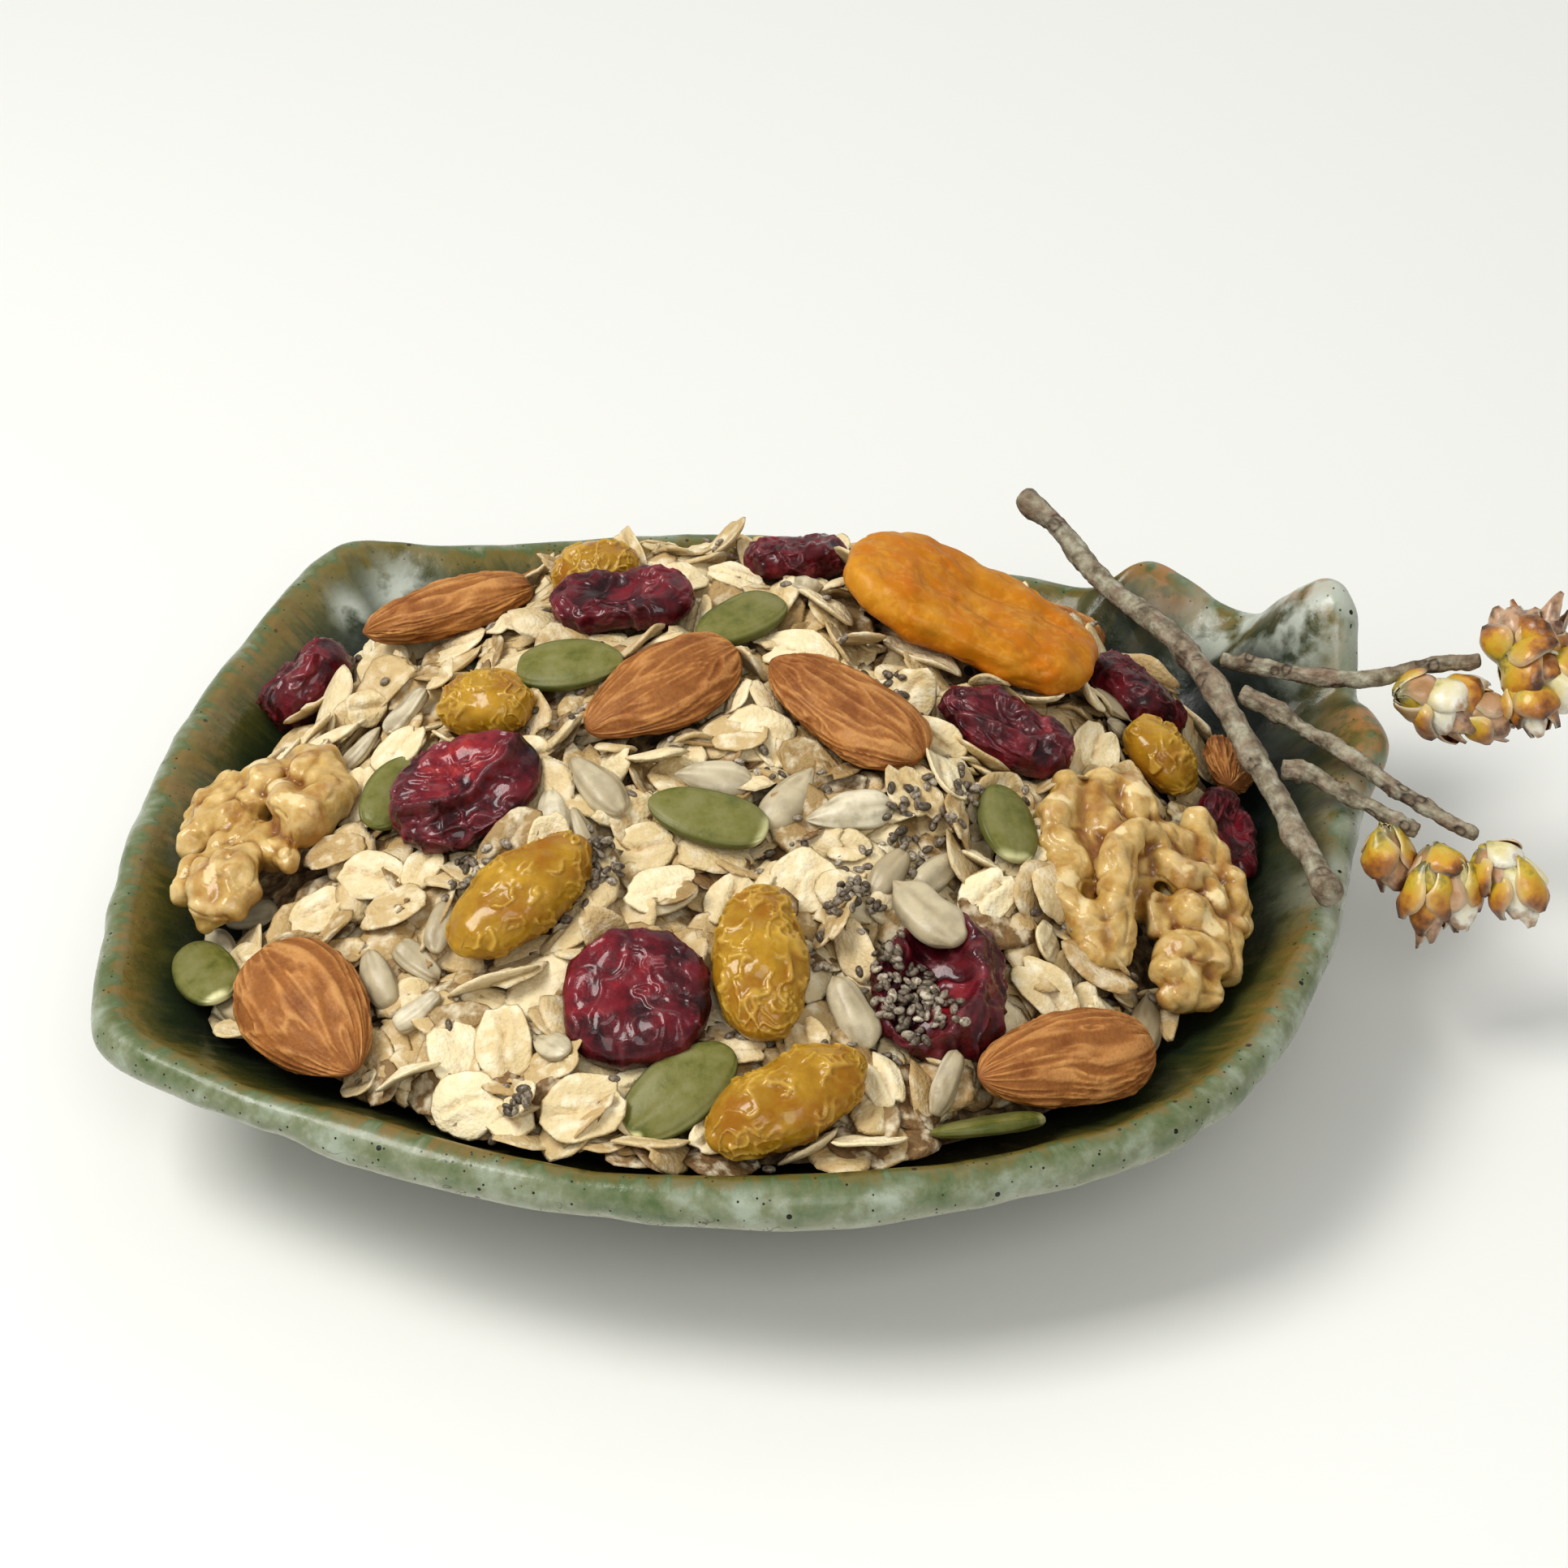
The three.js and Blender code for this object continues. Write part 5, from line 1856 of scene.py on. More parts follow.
@dataclass
class FlakeMould:
    """Makes the shells of single oat flakes."""

    around: int
    top_shares: tuple[float, ...]
    under_shares: tuple[float, ...]

    def flake(self, kind: FlakeKind, rng: Random,
              own_size: Optional[tuple[float, float]] = None) -> Shell:
        """A rolled oat: a cupped, creased oval with a ragged edge, split at its ends.

        Args:
            kind: Its build.
            rng: Where its own unevenness comes from.
            own_size: Its length and width, where they aren't the kind's.

        Returns:
            The shell, lying flat about the origin.
        """
        half_length, half_width, cup, curl = kind.value
        size = rng.uniform(0.92, 1.22)
        if own_size:
            half_length, half_width, size = own_size[0] / 2, own_size[1] / 2, 1.0
        turn = np.arange(self.around) / self.around * TURN
        ragged = 1 + 0.05 * np.sin(2 * turn + rng.uniform(0, TURN)) + 0.04 * np.sin(5 * turn
                                                                                    + rng.uniform(0, TURN))
        ragged += rng.normal(0, 0.016, self.around)
        for end in (0, math.pi):
            away = np.angle(np.exp(1j * (turn - end - rng.normal(0, 0.12))))
            ragged -= rng.uniform(0.0, 0.34) * bell(away, 0.17)
        shares = np.array([0.0, *self.under_shares, 1.0, *self.top_shares[::-1], 0.0])
        face = np.sign(np.arange(len(shares)) - len(self.under_shares) - 1)[:, None]
        out = shares[:, None] * ragged[None]
        x = size * half_length * out * np.cos(turn)
        y = size * half_width * out * np.sin(turn)
        seed = int(rng.integers(1 << 20))
        flat = np.stack([x, y, np.zeros_like(x)], axis=-1)
        across, along = y / half_width, x / half_length
        bend = cup * rng.uniform(-0.9, 1.3) * across**2 + curl * rng.uniform(0.2, 1.3) * along**3
        bend += rng.normal(0, 0.4) * along**2 + 0.3 * noise(flat, 4, seed)
        line = y - 0.3 * np.sin(x * 0.8 + rng.uniform(0, TURN))
        inside = smoothstep(0.98, 0.7, shares)[:, None] * smoothstep(1.05, 0.8, np.abs(along))
        crease = bell(line, 0.3) * inside
        flanks = (bell(line - 0.95, 0.5) + bell(line + 0.95, 0.5)) * inside
        folds = noise(flat, (3.0, 0.7, 1), seed + 1) * inside
        thick = 0.26 + 0.16 * smoothstep(1.0, 0.4, shares)[:, None]
        z = bend + thick * face + (0.28 * flanks + 0.22 * folds - 0.38 * crease) * (face > 0)
        marks = {
            "tint": np.full_like(x, np.clip(rng.normal(0.6, 0.2), 0, 1)),
            "crease": np.clip((crease - 0.3 * folds) * (face > 0) + 0.4 * (face <= 0), 0, 1),
        }
        return shell_of_rings(np.stack([x, y, z], axis=-1), marks)


@dataclass
class OatFlakes:
    """Several hundred rolled oats, laid on the pile one by one, their tints moved by the layer's shade:
    darker low down as painted shade between the flakes.
    """

    name: str
    count: int
    mould: FlakeMould
    moulds: int
    above: float
    tilt: float
    give: float
    # shade moves every tint; below 0 it darkens a lower layer as painted shade.
    shade: float
    seed: int
    rim: bool = False

    def build(self, pile: Pile, material: Material) -> None:
        """Makes the flakes' piece: each takes a deep place, leans with the pile and is lifted onto it.

        Args:
            pile: The pile that they are laid on, which rises with them.
            material: The finish.
        """
        rng = np.random.default_rng(self.seed)
        kinds = list(FlakeKind)
        chances = [0.25, 0.35, 0.1, 0.3] if self.rim else [0.38, 0.27, 0.17, 0.18]
        shells = [self.mould.flake(kinds[rng.choice(4, p=chances)], rng) for _ in range(self.moulds)]
        laid: list[Shell] = []
        for _ in range(self.count * 5):
            if len(laid) == self.count:
                break
            shell = shells[rng.integers(len(shells))]
            x, y = pile.deep_place(rng, 10, self.rim)
            up = pile.lean(x, y, 3.5) + rng.normal(0, self.tilt, 3) * np.array([1, 1, 0])
            heading = rng.uniform(0, TURN)
            if self.rim:
                up += np.array([0, 0, 1.2])
                heading = math.atan2(y, x) + TURN / 4 + rng.normal(0, 0.5)
            up /= np.linalg.norm(up)
            flip = 1 if rng.random() < 0.72 else -1
            axes = axes_from(up, heading) * np.array([[1], [flip], [flip]])
            points = pile.settle(shell.points @ axes + np.array([x, y, 0]), self.give, self.above)
            if points is None:
                continue
            pile.cover(np.concatenate([points, points * 0.5 + np.roll(points, 7, axis=0) * 0.5]))
            laid.append(shell.tinted(points, rng.normal(self.shade, 0.14)))
        LOG.info("%s: %d flakes laid", self.name, len(laid))
        make_piece(self.name, Shell.joined(laid), material)


@dataclass
class ChosenFlakes:
    """The large flakes that stand out. A row has x, y, heading, length, width and facing.

    A facing over 0 turns the flake to the side from which the heap is seen best, and under 0 edge on to it.
    """

    rows: tuple[tuple[float, float, float, float, float, float], ...]
    mould: FlakeMould
    seed: int = 33

    def build(self, pile: Pile, material: Material) -> None:
        """Makes the flakes' piece.

        Args:
            pile: The pile that they are laid on, which rises with them.
            material: The finish.
        """
        rng = np.random.default_rng(self.seed)
        laid: list[Shell] = []
        for index, (x, y, heading, length, width, facing) in enumerate(self.rows):
            shell = self.mould.flake(FlakeKind.WHOLE, rng, (length, width))
            points = pile.place(shell, np.array([x, y]), facing, heading, rng, f"flake_{index}")
            if points is not None:
                laid.append(shell.tinted(points, 0.2))
        LOG.info("chosen flakes: %d laid", len(laid))
        make_piece("oat_flakes_large", Shell.joined(laid), material)


@dataclass
class SunflowerKernels:
    """Hulled sunflower kernels: some at their own places, the rest strewn.

    A placed one has x, y, the heading of its point in degrees, and its length in millimetres.
    """

    placed: tuple[tuple[float, float, float, float], ...]
    strewn: int = 46
    seed: int = 5

    @staticmethod
    def kernel(length: float, seed: int, tint: float) -> Shell:
        """A flattish drop, pointed at +x, with a low ridge along it.

        Args:
            length: Its length in millimetres.
            seed: The seed of its lines.
            tint: Its place among the tints, from 0 to 1.

        Returns:
            The kernel's shell.
        """
        ball, share, turn = lying_ball(30, 24)
        width = girth(1 - share, 0.72, 0.46)
        half = np.array([length / 2, length * 0.25, length * 0.15])
        points = np.stack([ball[..., 0], width * np.cos(turn), width * np.sin(turn)], axis=-1) * half
        fade = smoothstep(0, 0.1, share) * smoothstep(1, 0.9, share)
        strip = np.stack([share * 6 + 3 * np.cos(turn), np.cos(turn) * 4, np.sin(turn) * 4], axis=-1)
        lines = noise(strip, (7, 1.1, 1.1), seed + 1)
        height = 0.34 * noise(points, 3.6, seed) + 0.2 * lines - 0.22 * bell(lines, 0.14)
        rings = raised(points, height * fade)
        streak = np.clip(0.8 * bell(lines, 0.2) + 0.4 * lines + 0.7 * smoothstep(0.8, 1, share), 0, 1)
        return shell_of_rings(rings, {"tint": np.full_like(share, tint), "streak": streak})

    def build_placed(self, pile: Pile, material: Material) -> None:
        """Makes the piece of the kernels that have their own places.

        Args:
            pile: The pile that they are laid on, which rises with them.
            material: The finish.
        """
        rng = np.random.default_rng(self.seed)
        laid: list[Shell] = []
        for index, (x, y, heading, length) in enumerate(self.placed):
            shell = self.kernel(length, 300 + index, float(np.clip(rng.normal(0.6, 0.25), 0, 1)))
            points = pile.place(shell, np.array([x, y]), 0.3, heading, rng, f"kernel_{index}")
            if points is not None:
                laid.append(Shell(points, shell.quads, shell.tris, shell.marks))
        LOG.info("placed kernels: %d laid", len(laid))
        make_piece("sunflower_kernels_large", Shell.joined(laid), material)

    def build_strewn(self, pile: Pile, material: Material) -> None:
        """Makes the piece of the strewn kernels, which lean with the pile.

        Args:
            pile: The pile that they are laid on, which rises with them.
            material: The finish.
        """
        rng = np.random.default_rng(self.seed + 1)
        laid: list[Shell] = []
        for index in range(self.strewn * 3):
            if len(laid) == self.strewn:
                break
            shell = self.kernel(rng.uniform(7.5, 10), 400 + index, float(np.clip(rng.normal(0.5, 0.3), 0, 1)))
            x, y = pile.deep_place(rng, 3)
            up = pile.lean(x, y, 3.0) + rng.normal(0, 0.3, 3) * np.array([1, 1, 0])
            axes = axes_from(up / np.linalg.norm(up), rng.uniform(0, TURN))
            points = pile.settle(shell.points @ axes + np.array([x, y, 0]), 0.25, 1.5)
            if points is None:
                continue
            pile.cover(points)
            laid.append(Shell(points, shell.quads, shell.tris, shell.marks))
        LOG.info("strewn kernels: %d laid", len(laid))
        make_piece("sunflower_kernels_small", Shell.joined(laid), material)


@dataclass
class ChiaSeeds:
    """Chia seeds in drifts. A drift has x, y, its radius in millimetres and its number of seeds."""

    drifts: tuple[tuple[float, float, float, int], ...]
    strewn: int = 110
    deep: float = 2.1
    seed: int = 7

    def build(self, pile: Pile, material: Material) -> None:
        """Makes the seeds' piece: small ovals, each laid on the pile.

        Args:
            pile: The pile that they are laid on, which rises with them.
            material: The finish.
        """
        rng = np.random.default_rng(self.seed)
        base = shell_of_rings(lying_ball(6, 8)[0])
        places = [np.array([x, y]) + rng.normal(0, 1.25 * radius, (count, 2)) for x, y, radius,
                  count in self.drifts]
        places.append(np.array([pile.deep_place(rng, 1) for _ in range(self.strewn)]))
        laid: list[Shell] = []
        ground = pile.height.copy()
        for x, y in np.concatenate(places):
            half = np.array([0.92, 0.6, 0.42]) * rng.uniform(0.8, 1.12)
            up = pile.lean(x, y, 1.5) + rng.normal(0, 0.35, 3)
            up /= np.linalg.norm(up)
            axes = axes_from(up, rng.uniform(0, TURN))
            points = pile.settle((base.points * half) @ axes + np.array([x, y, 0]), 0.3, 9.0)
            limit = ground[pile.cell(np.array(x), np.array(y))] + self.deep
            if points is None or points[:, 2].max() > limit:
                continue
            pile.cover(points)
            laid.append(Shell(points, base.quads, base.tris, {"tint": np.full(len(points), rng.random())}))
        LOG.info("chia seeds: %d laid", len(laid))
        make_piece("chia_seeds", Shell.joined(laid), material)


@dataclass
class Core:
    """What the flakes lie on: the heap's outline sunk by a few millimetres, and the dish's wall below it."""

    form: DishForm
    heap: Heap
    sunk: float

    def build(self, effects: Effects) -> None:
        """Makes the core's piece: a floor, a side that follows the wall, and a rough top.

        Args:
            effects: The shared node groups.
        """
        form = self.form
        degrees = np.degrees(np.mod(form.angle, TURN))
        reach = np.interp(degrees, HEAP_EDGE[:, 0], HEAP_EDGE[:, 1]) - 0.06
        edge = form.wall(reach, WALL / 2 + 1.2)
        low = np.array([0.46, 0.6, 0.7])[:, None]
        sides = form.wall(np.minimum(low, reach - 0.02), WALL / 2 + 1.2)
        floor = sides[0] * np.array([0.7, 0.7, 0]) + np.array([0, 0, FLOOR_HEIGHT + 1.2])
        bottom = np.zeros_like(floor) + np.array([0, 0, FLOOR_HEIGHT + 1.2])
        shares = np.linspace(1, 0, 90)[1:, None, None]
        flat = HEAP_CENTRE + (edge[None, :, :2] - HEAP_CENTRE) * shares
        goal = self.heap.top(flat[..., 0], flat[..., 1])
        brim = self.heap.top(edge[:, 0], edge[:, 1]) - edge[:, 2]
        top = goal - self.sunk - (brim - self.sunk) * smoothstep(0.85, 1.0, shares[..., 0])
        rough = np.concatenate([flat, top[..., None]], axis=-1)
        rough[..., 2] += (0.5 * noise(rough, 2.2, 71) + 0.3
                          * noise(rough, 1.0, 72)) * smoothstep(1, 0.95, shares[..., 0])
        rings = np.concatenate([bottom[None], floor[None], sides, edge[None], rough])
        make_piece("heap_core", shell_of_rings(rings), CoreFinish().material(effects), ["heap"])


# ------------------------------------------------------------------------------------------ the twig
@dataclass(frozen=True)
class BarkFinish:
    """Grey bark with paler lichen, pinkish-brown patches and dark scars."""

    def material(self, effects: Effects) -> Material:
        """Blotches of three greys, browner at the joints and dark in the scars.

        Args:
            effects: The shared node groups.

        Returns:
            The material.
        """
        graph = Surface("bark", Gloss(0.75, specular=0.25), effects)
        bark = graph.mottle(2.6, (0.12, 0.095, 0.062), (0.26, 0.225, 0.16), (0.42, 0.4, 0.31), 0.02)
        pink = graph.times(graph.patches(4.5, 3, 0.5, 0.66), 0.4)
        colour = graph.mix(pink, bark, (0.3, 0.19, 0.14))
        colour = graph.mix(graph.times("knot", 0.45), colour, (0.24, 0.15, 0.1))
        colour = graph.mix("crack", colour, (0.05, 0.036, 0.026))
        return graph.done(colour, (0.6, 0.8))


@dataclass
class Branch:
    """A woody shoot along a route: its knots in millimetres, its start and end radius, and its joints."""

    name: str
    node: str
    route: tuple[tuple[float, float, float], ...]
    start: float
    end: float
    joints: tuple[float, ...] = ()
    seed: int = 0
    scars: int = 16

    def build(self, material: Material) -> None:
        """Makes the shoot's piece: a tube that swells on one side at each joint, with raised oval scars.

        Args:
            material: The finish.
        """
        rng = np.random.default_rng(self.seed)
        line = open_curve(np.array(self.route, float), 220)
        along = np.gradient(line, axis=0)
        along /= np.linalg.norm(along, axis=1, keepdims=True)
        side = np.cross(along, np.array([0.0, 0.0, 1.0]))
        side /= np.linalg.norm(side, axis=1, keepdims=True)
        over = np.cross(side, along)
        share = np.linspace(0, 1, len(line))[:, None]
        turn = (np.arange(32) / 32 * TURN)[None]
        nearest = np.minimum(share, 1 - share)
        ends = np.where(nearest < 0.012, np.sqrt(np.clip(1 - (1 - nearest / 0.012) ** 2, 0, 1)), 1)
        knot = np.zeros((len(line), 32))
        for joint in self.joints:
            lopsided = 0.55 + 0.45 * np.cos(turn - rng.uniform(0, TURN))
            knot = np.maximum(knot, bell(share - joint, rng.uniform(0.016, 0.03)) * lopsided)
        radius = (self.start + (self.end - self.start) * share) * (1 + 0.42 * knot) * ends
        round_way = side[:, None] * np.cos(turn)[..., None] + over[:, None] * np.sin(turn)[..., None]
        rings = line[:, None] + radius[..., None] * round_way
        length = np.linalg.norm(np.diff(line, axis=0), axis=1).sum()
        scar, crack = np.zeros_like(knot), np.zeros_like(knot)
        for _ in range(self.scars):
            away = (share - rng.uniform(0.03, 0.97)) * length
            round_off = np.angle(np.exp(1j * (turn - rng.uniform(0, TURN)))) * self.start
            off = np.hypot(away / rng.uniform(0.5, 1.1), round_off / rng.uniform(0.6, 1.4))
            scar = np.maximum(scar, bell(off, 1.0))
            crack = np.maximum(crack, bell(off - 0.9, 0.28) * (rng.random() < 0.7))
        strip = np.stack([share * length + 0 * turn, 3 * np.cos(turn) + 0 * share,
                          3 * np.sin(turn) + 0 * share], axis=-1)
        lines = ridges(strip, (4.5, 1.3, 1.3), self.seed + 4, 0.16)
        rough = 0.17 * noise(rings, 1.3, self.seed + 2, 2) + 0.16 * noise(rings, 4, self.seed + 3)
        rings = raised(rings, (rough + 0.26 * scar - 0.12 * crack - 0.12 * lines) * ends)
        marks = {"crack": np.clip(0.8 * crack + 0.4 * lines, 0, 1), "knot": np.clip(knot + scar, 0, 1)}
        make_piece(self.name, shell_of_rings(rings, marks), material, [self.node])


@dataclass(frozen=True)
class BudFinish:
    """Papery scales: olive at the base, gold and ochre to a brown tip, and some of them clear and whitish."""

    def material(self, effects: Effects) -> Material:
        """A ramp along each scale for each of three kinds, streaked, with a pale margin.

        Args:
            effects: The shared node groups.

        Returns:
            The material.
        """
        gloss = Gloss(0.34, 0.3, 0.15, specular=0.4, depth=0.2, radius=(1.0, 0.6, 0.3), reach=1.0)
        graph = Surface("bud_scale", gloss, effects)
        along = graph.plus("along", graph.patches(1.8, 3, 0.3, 0.7, -0.2, 0.2))
        warm = graph.ramp(along,
                          [(0.0, (0.14, 0.13, 0.04)), (0.25, (0.54, 0.38, 0.04)), (0.5, (0.56, 0.3, 0.03)),
                                  (0.75, (0.36, 0.14, 0.03)), (1.0, (0.09, 0.04, 0.02))])
        brown = graph.ramp(along,
                           [(0.0, (0.2, 0.17, 0.07)), (0.35, (0.4, 0.22, 0.1)), (0.7, (0.5, 0.32, 0.2)),
                                   (1.0, (0.12, 0.06, 0.035))])
        pale = graph.ramp(along,
                          [(0.0, (0.36, 0.33, 0.11)), (0.3, (0.66, 0.57, 0.3)), (0.75, (0.76, 0.72, 0.62)),
                                  (1.0, (0.4, 0.26, 0.16))])
        colour = graph.mix(graph.fit("tint", 0.5, 0.51), warm, brown)
        colour = graph.mix(graph.fit("tint", 0.78, 0.79), colour, pale)
        colour = graph.mix(graph.times("margin", 0.5), colour, (0.72, 0.64, 0.48))
        return graph.done(colour, (0.9, 0.3))


@dataclass
class BudCluster:
    """Buds at the end of a shoot, each [x, y, z, length, width, tilt, heading]."""

    node: str
    buds: tuple[tuple[float, float, float, float, float, float, float], ...]
    seed: int

    def build(self, material: Material) -> None:
        """Makes the cluster's piece: scales wrapped round each bud, the outer ones shorter and wider.

        Args:
            material: The finish.
        """
        rng = np.random.default_rng(self.seed)
        shells: list[Shell] = []
        for x, y, z, length, width, tilt, heading in self.buds:
            lift, turn = math.radians(tilt), math.radians(heading)
            ahead = np.array([math.cos(lift) * math.cos(turn), math.cos(lift) * math.sin(turn),
                              math.sin(lift)])
            side = np.array([-math.sin(turn), math.cos(turn), 0.0])
            axes = np.stack([ahead, side, np.cross(ahead, side)])
            place = np.array([x, y, z]) - ahead * length * 0.55
            start = rng.uniform(0, TURN)
            for index in range(9):
                outer = index / 8
                own_length = length * (1.16 - 0.38 * outer) * rng.uniform(0.88, 1.08)
                shells.append(self._scale(own_length, width * (0.34 + 0.26 * outer), start + 2.4 * index,
                                          0.28 * outer + rng.uniform(0, 0.12), rng).moved(axes, place))
        make_piece("scales_of_" + self.node, Shell.joined(shells), material, ["twig_" + self.node])

    @staticmethod
    def _scale(length: float, radius: float, turn: float, open_out: float, rng: Random) -> Shell:
        """One scale: a cupped strip of an oval skin, widest past its middle, with a blunt bent tip.

        Args:
            length: Its length in millimetres.
            radius: The bud's radius there.
            turn: Where it stands round the bud.
            open_out: How far it opens.
            rng: The source of its seed.

        Returns:
            The scale's shell.
        """
        shares = np.linspace(0, 1, 15)[:, None]
        across = np.linspace(-1, 1, 9)[None]
        span = 1.2 * np.sin(math.pi * np.clip(shares, 0.03, 0.97) ** 0.95) ** 0.62
        belly = np.sin(math.pi * np.clip(shares * 0.8 + 0.07, 0, 1)) ** 0.75
        angle = turn + across * span
        seed = int(rng.integers(1 << 20))
        layers = []
        for thick in (0.0, 0.26):
            out = radius * (belly + 2.0 * open_out * shares**1.6) + thick
            out = out - 0.4 * radius * across**2 * open_out + 0.06 * radius * bell(across, 0.15)
            grid = np.stack([length * shares + 0 * angle, out * np.cos(angle), out * np.sin(angle)], axis=-1)
            layers.append(grid + 0.28 * noise(grid, 2.2, seed)[..., None])
        ring = np.concatenate([layers[1], layers[0][:, ::-1]], axis=1)
        along = np.repeat(shares, ring.shape[1], 1)
        marks = {"along": along,
                 "margin": np.abs(np.concatenate([across, across[:, ::-1]], 1)) ** 6 + 0 * along,
                 "tint": np.full_like(along, rng.random())}
        start, end = (ring[pick].mean(1, keepdims=True) + 0 * ring[:1]
                      for pick in (slice(0, 1), slice(-1, None)))
        closed = {name: np.concatenate([values[:1], values, values[-1:]]) for name, values in marks.items()}
        return shell_of_rings(np.concatenate([start, ring, end]), closed)


# ------------------------------------------------------------------------------------------ the studio
class Studio:
    """The camera, the lights and the floor."""

    camera_place = (7.4, -492.2, 407.1)
    camera_down = 37.0
    camera_lens = 102.82

    def build(self) -> None:
        """Makes them."""
        scene = bpy.context.scene
        camera = bpy.data.objects.new("camera", bpy.data.cameras.new("camera"))
        camera.location = [part * MM for part in self.camera_place]
        camera.rotation_euler = (math.radians(90 - self.camera_down), 0, 0)
        camera.data.lens = self.camera_lens
        camera.data.sensor_width = 36.0
        camera.data.clip_start = 0.01
        scene.collection.objects.link(camera)
        scene.camera = camera
        self._lamp("key", (-0.5, -0.14, 0.85), 0.42, 6.2, (1.0, 0.985, 0.955))
        self._lamp("back", (0.3, 0.75, 0.75), 0.8, 1.1, (1.0, 1.0, 0.98))
        self._lamp("fill", (0.15, -0.85, 0.85), 0.5, 3.0, (1.0, 1.0, 0.98))
        world = bpy.data.worlds.new("studio")
        world.use_nodes = True
        world.node_tree.nodes["Background"].inputs["Color"].default_value = (1.0, 1.0, 0.975, 1.0)
        world.node_tree.nodes["Background"].inputs["Strength"].default_value = 0.46
        scene.world = world
        scene.view_settings.view_transform = "Standard"
        scene.view_settings.look = "Medium High Contrast"
        self._floor()

    @staticmethod
    def _lamp(name: str, place: tuple[float, float, float], size: float, power: float,
              colour: Colour) -> None:
        """A square soft lamp that faces the dish.

        Args:
            name: Its name.
            place: Its place in metres.
            size: The side of its square.
            power: Its power in watts.
            colour: Its colour.
        """
        data = bpy.data.lights.new(name, "AREA")
        data.energy, data.size, data.color = power, size, colour
        lamp = bpy.data.objects.new(name, data)
        lamp.location = place
        way = -np.array(place)
        way /= np.linalg.norm(way)
        pitch = math.acos(-way[2])
        lamp.rotation_euler = (pitch, 0, math.atan2(way[1], way[0]) - math.pi / 2)
        bpy.context.scene.collection.objects.link(lamp)

    @staticmethod
    def _floor() -> None:
        """A pale floor that runs past the camera's view on every side."""
        mesh = bpy.data.meshes.new("floor")
        mesh.from_pydata([(-6, -6, 0), (6, -6, 0), (6, 6, 0), (-6, 6, 0)], [], [(0, 1, 2, 3)])
        graph = Surface("floor", Gloss(0.8))
        tone = graph.patches(400, 1, 0.3, 0.7)
        mesh.materials.append(graph.done(graph.mix(tone, (0.725, 0.73, 0.71), (0.745, 0.75, 0.73))))
        floor = bpy.data.objects.new("floor", mesh)
        bpy.context.scene.collection.objects.link(floor)


# ------------------------------------------------------------------------------------------ the whole
WALNUT_GUARD = 0.8
ALMONDS = tuple(Almond(f"almond_{k}", heading, 10 + k)
                for k, heading in enumerate((37, -39, 122, 24, 18, 74, 166, -48), 1))
CRANBERRIES = (
    Cranberry("cranberry_1", -6, 31, (0.45, 0.1, 0.5, 0.55), waist=0.22),
    Cranberry("cranberry_2", 20, 32, (0.3, -0.5, 0.7, 0.6), plump=1.75),
    Cranberry("cranberry_3", 25, 33, (0.1, 0.35, 0.7, 1.0), (Fold(8.0, -2.2, 2.3, 1.0, 0.03),), rays=1.2),
    Cranberry("cranberry_4", 20, 34, (0.0, 0.0, 0.5, 0.4), plump=1.2),
    Cranberry("cranberry_5", 6, 35, (-0.45, 0.15, 0.7, 0.75), rays=0.3, crinkled=0.5, sunk=0.3),
    Cranberry("cranberry_6", -17, 36, (0.1, -0.1, 0.7, 1.05),
              (Fold(14.0, -2.6, 1.0), Fold(-30.0, 2.0, 0.9, 0.8)), sunk=0.5),
    Cranberry("cranberry_7", 86, 37, (-0.15, -0.12, 0.5, 1.1), (
        Fold(2.0, -4.2, 3.0, 1.9, 0.04), Fold(-8.0, 3.2, -2.2, 2.6, 0.0)), rays=0.5),
    Cranberry("cranberry_8", -12, 38, (0.0, 0.0, 0.4, 0.3), plump=1.4),
    Cranberry("cranberry_9", 97, 39, (0.0, 0.0, 0.5, 0.5), rays=0.6),
    Cranberry("cranberry_10", 12, 40, (0.0, 0.0, 0.5, 0.5)),
)
RAISINS = tuple(GoldenRaisin(f"golden_raisin_{k}", heading, 50 + k)
                for k, heading in enumerate((-24, 40, 91, 33, -8, -24, -24), 1))
SEEDS = tuple(PumpkinSeed(f"pumpkin_seed_{k}", heading, 135 + 5 * k, chip) for k,
              (heading, chip) in enumerate((
    (42, 0.2), (178, 0.2), (-18, 1.0), (294, 0.9), (222, 0.5), (282, 1.2), (23, 1.0), (62, 0.3), (70, 0.4)),
    1))
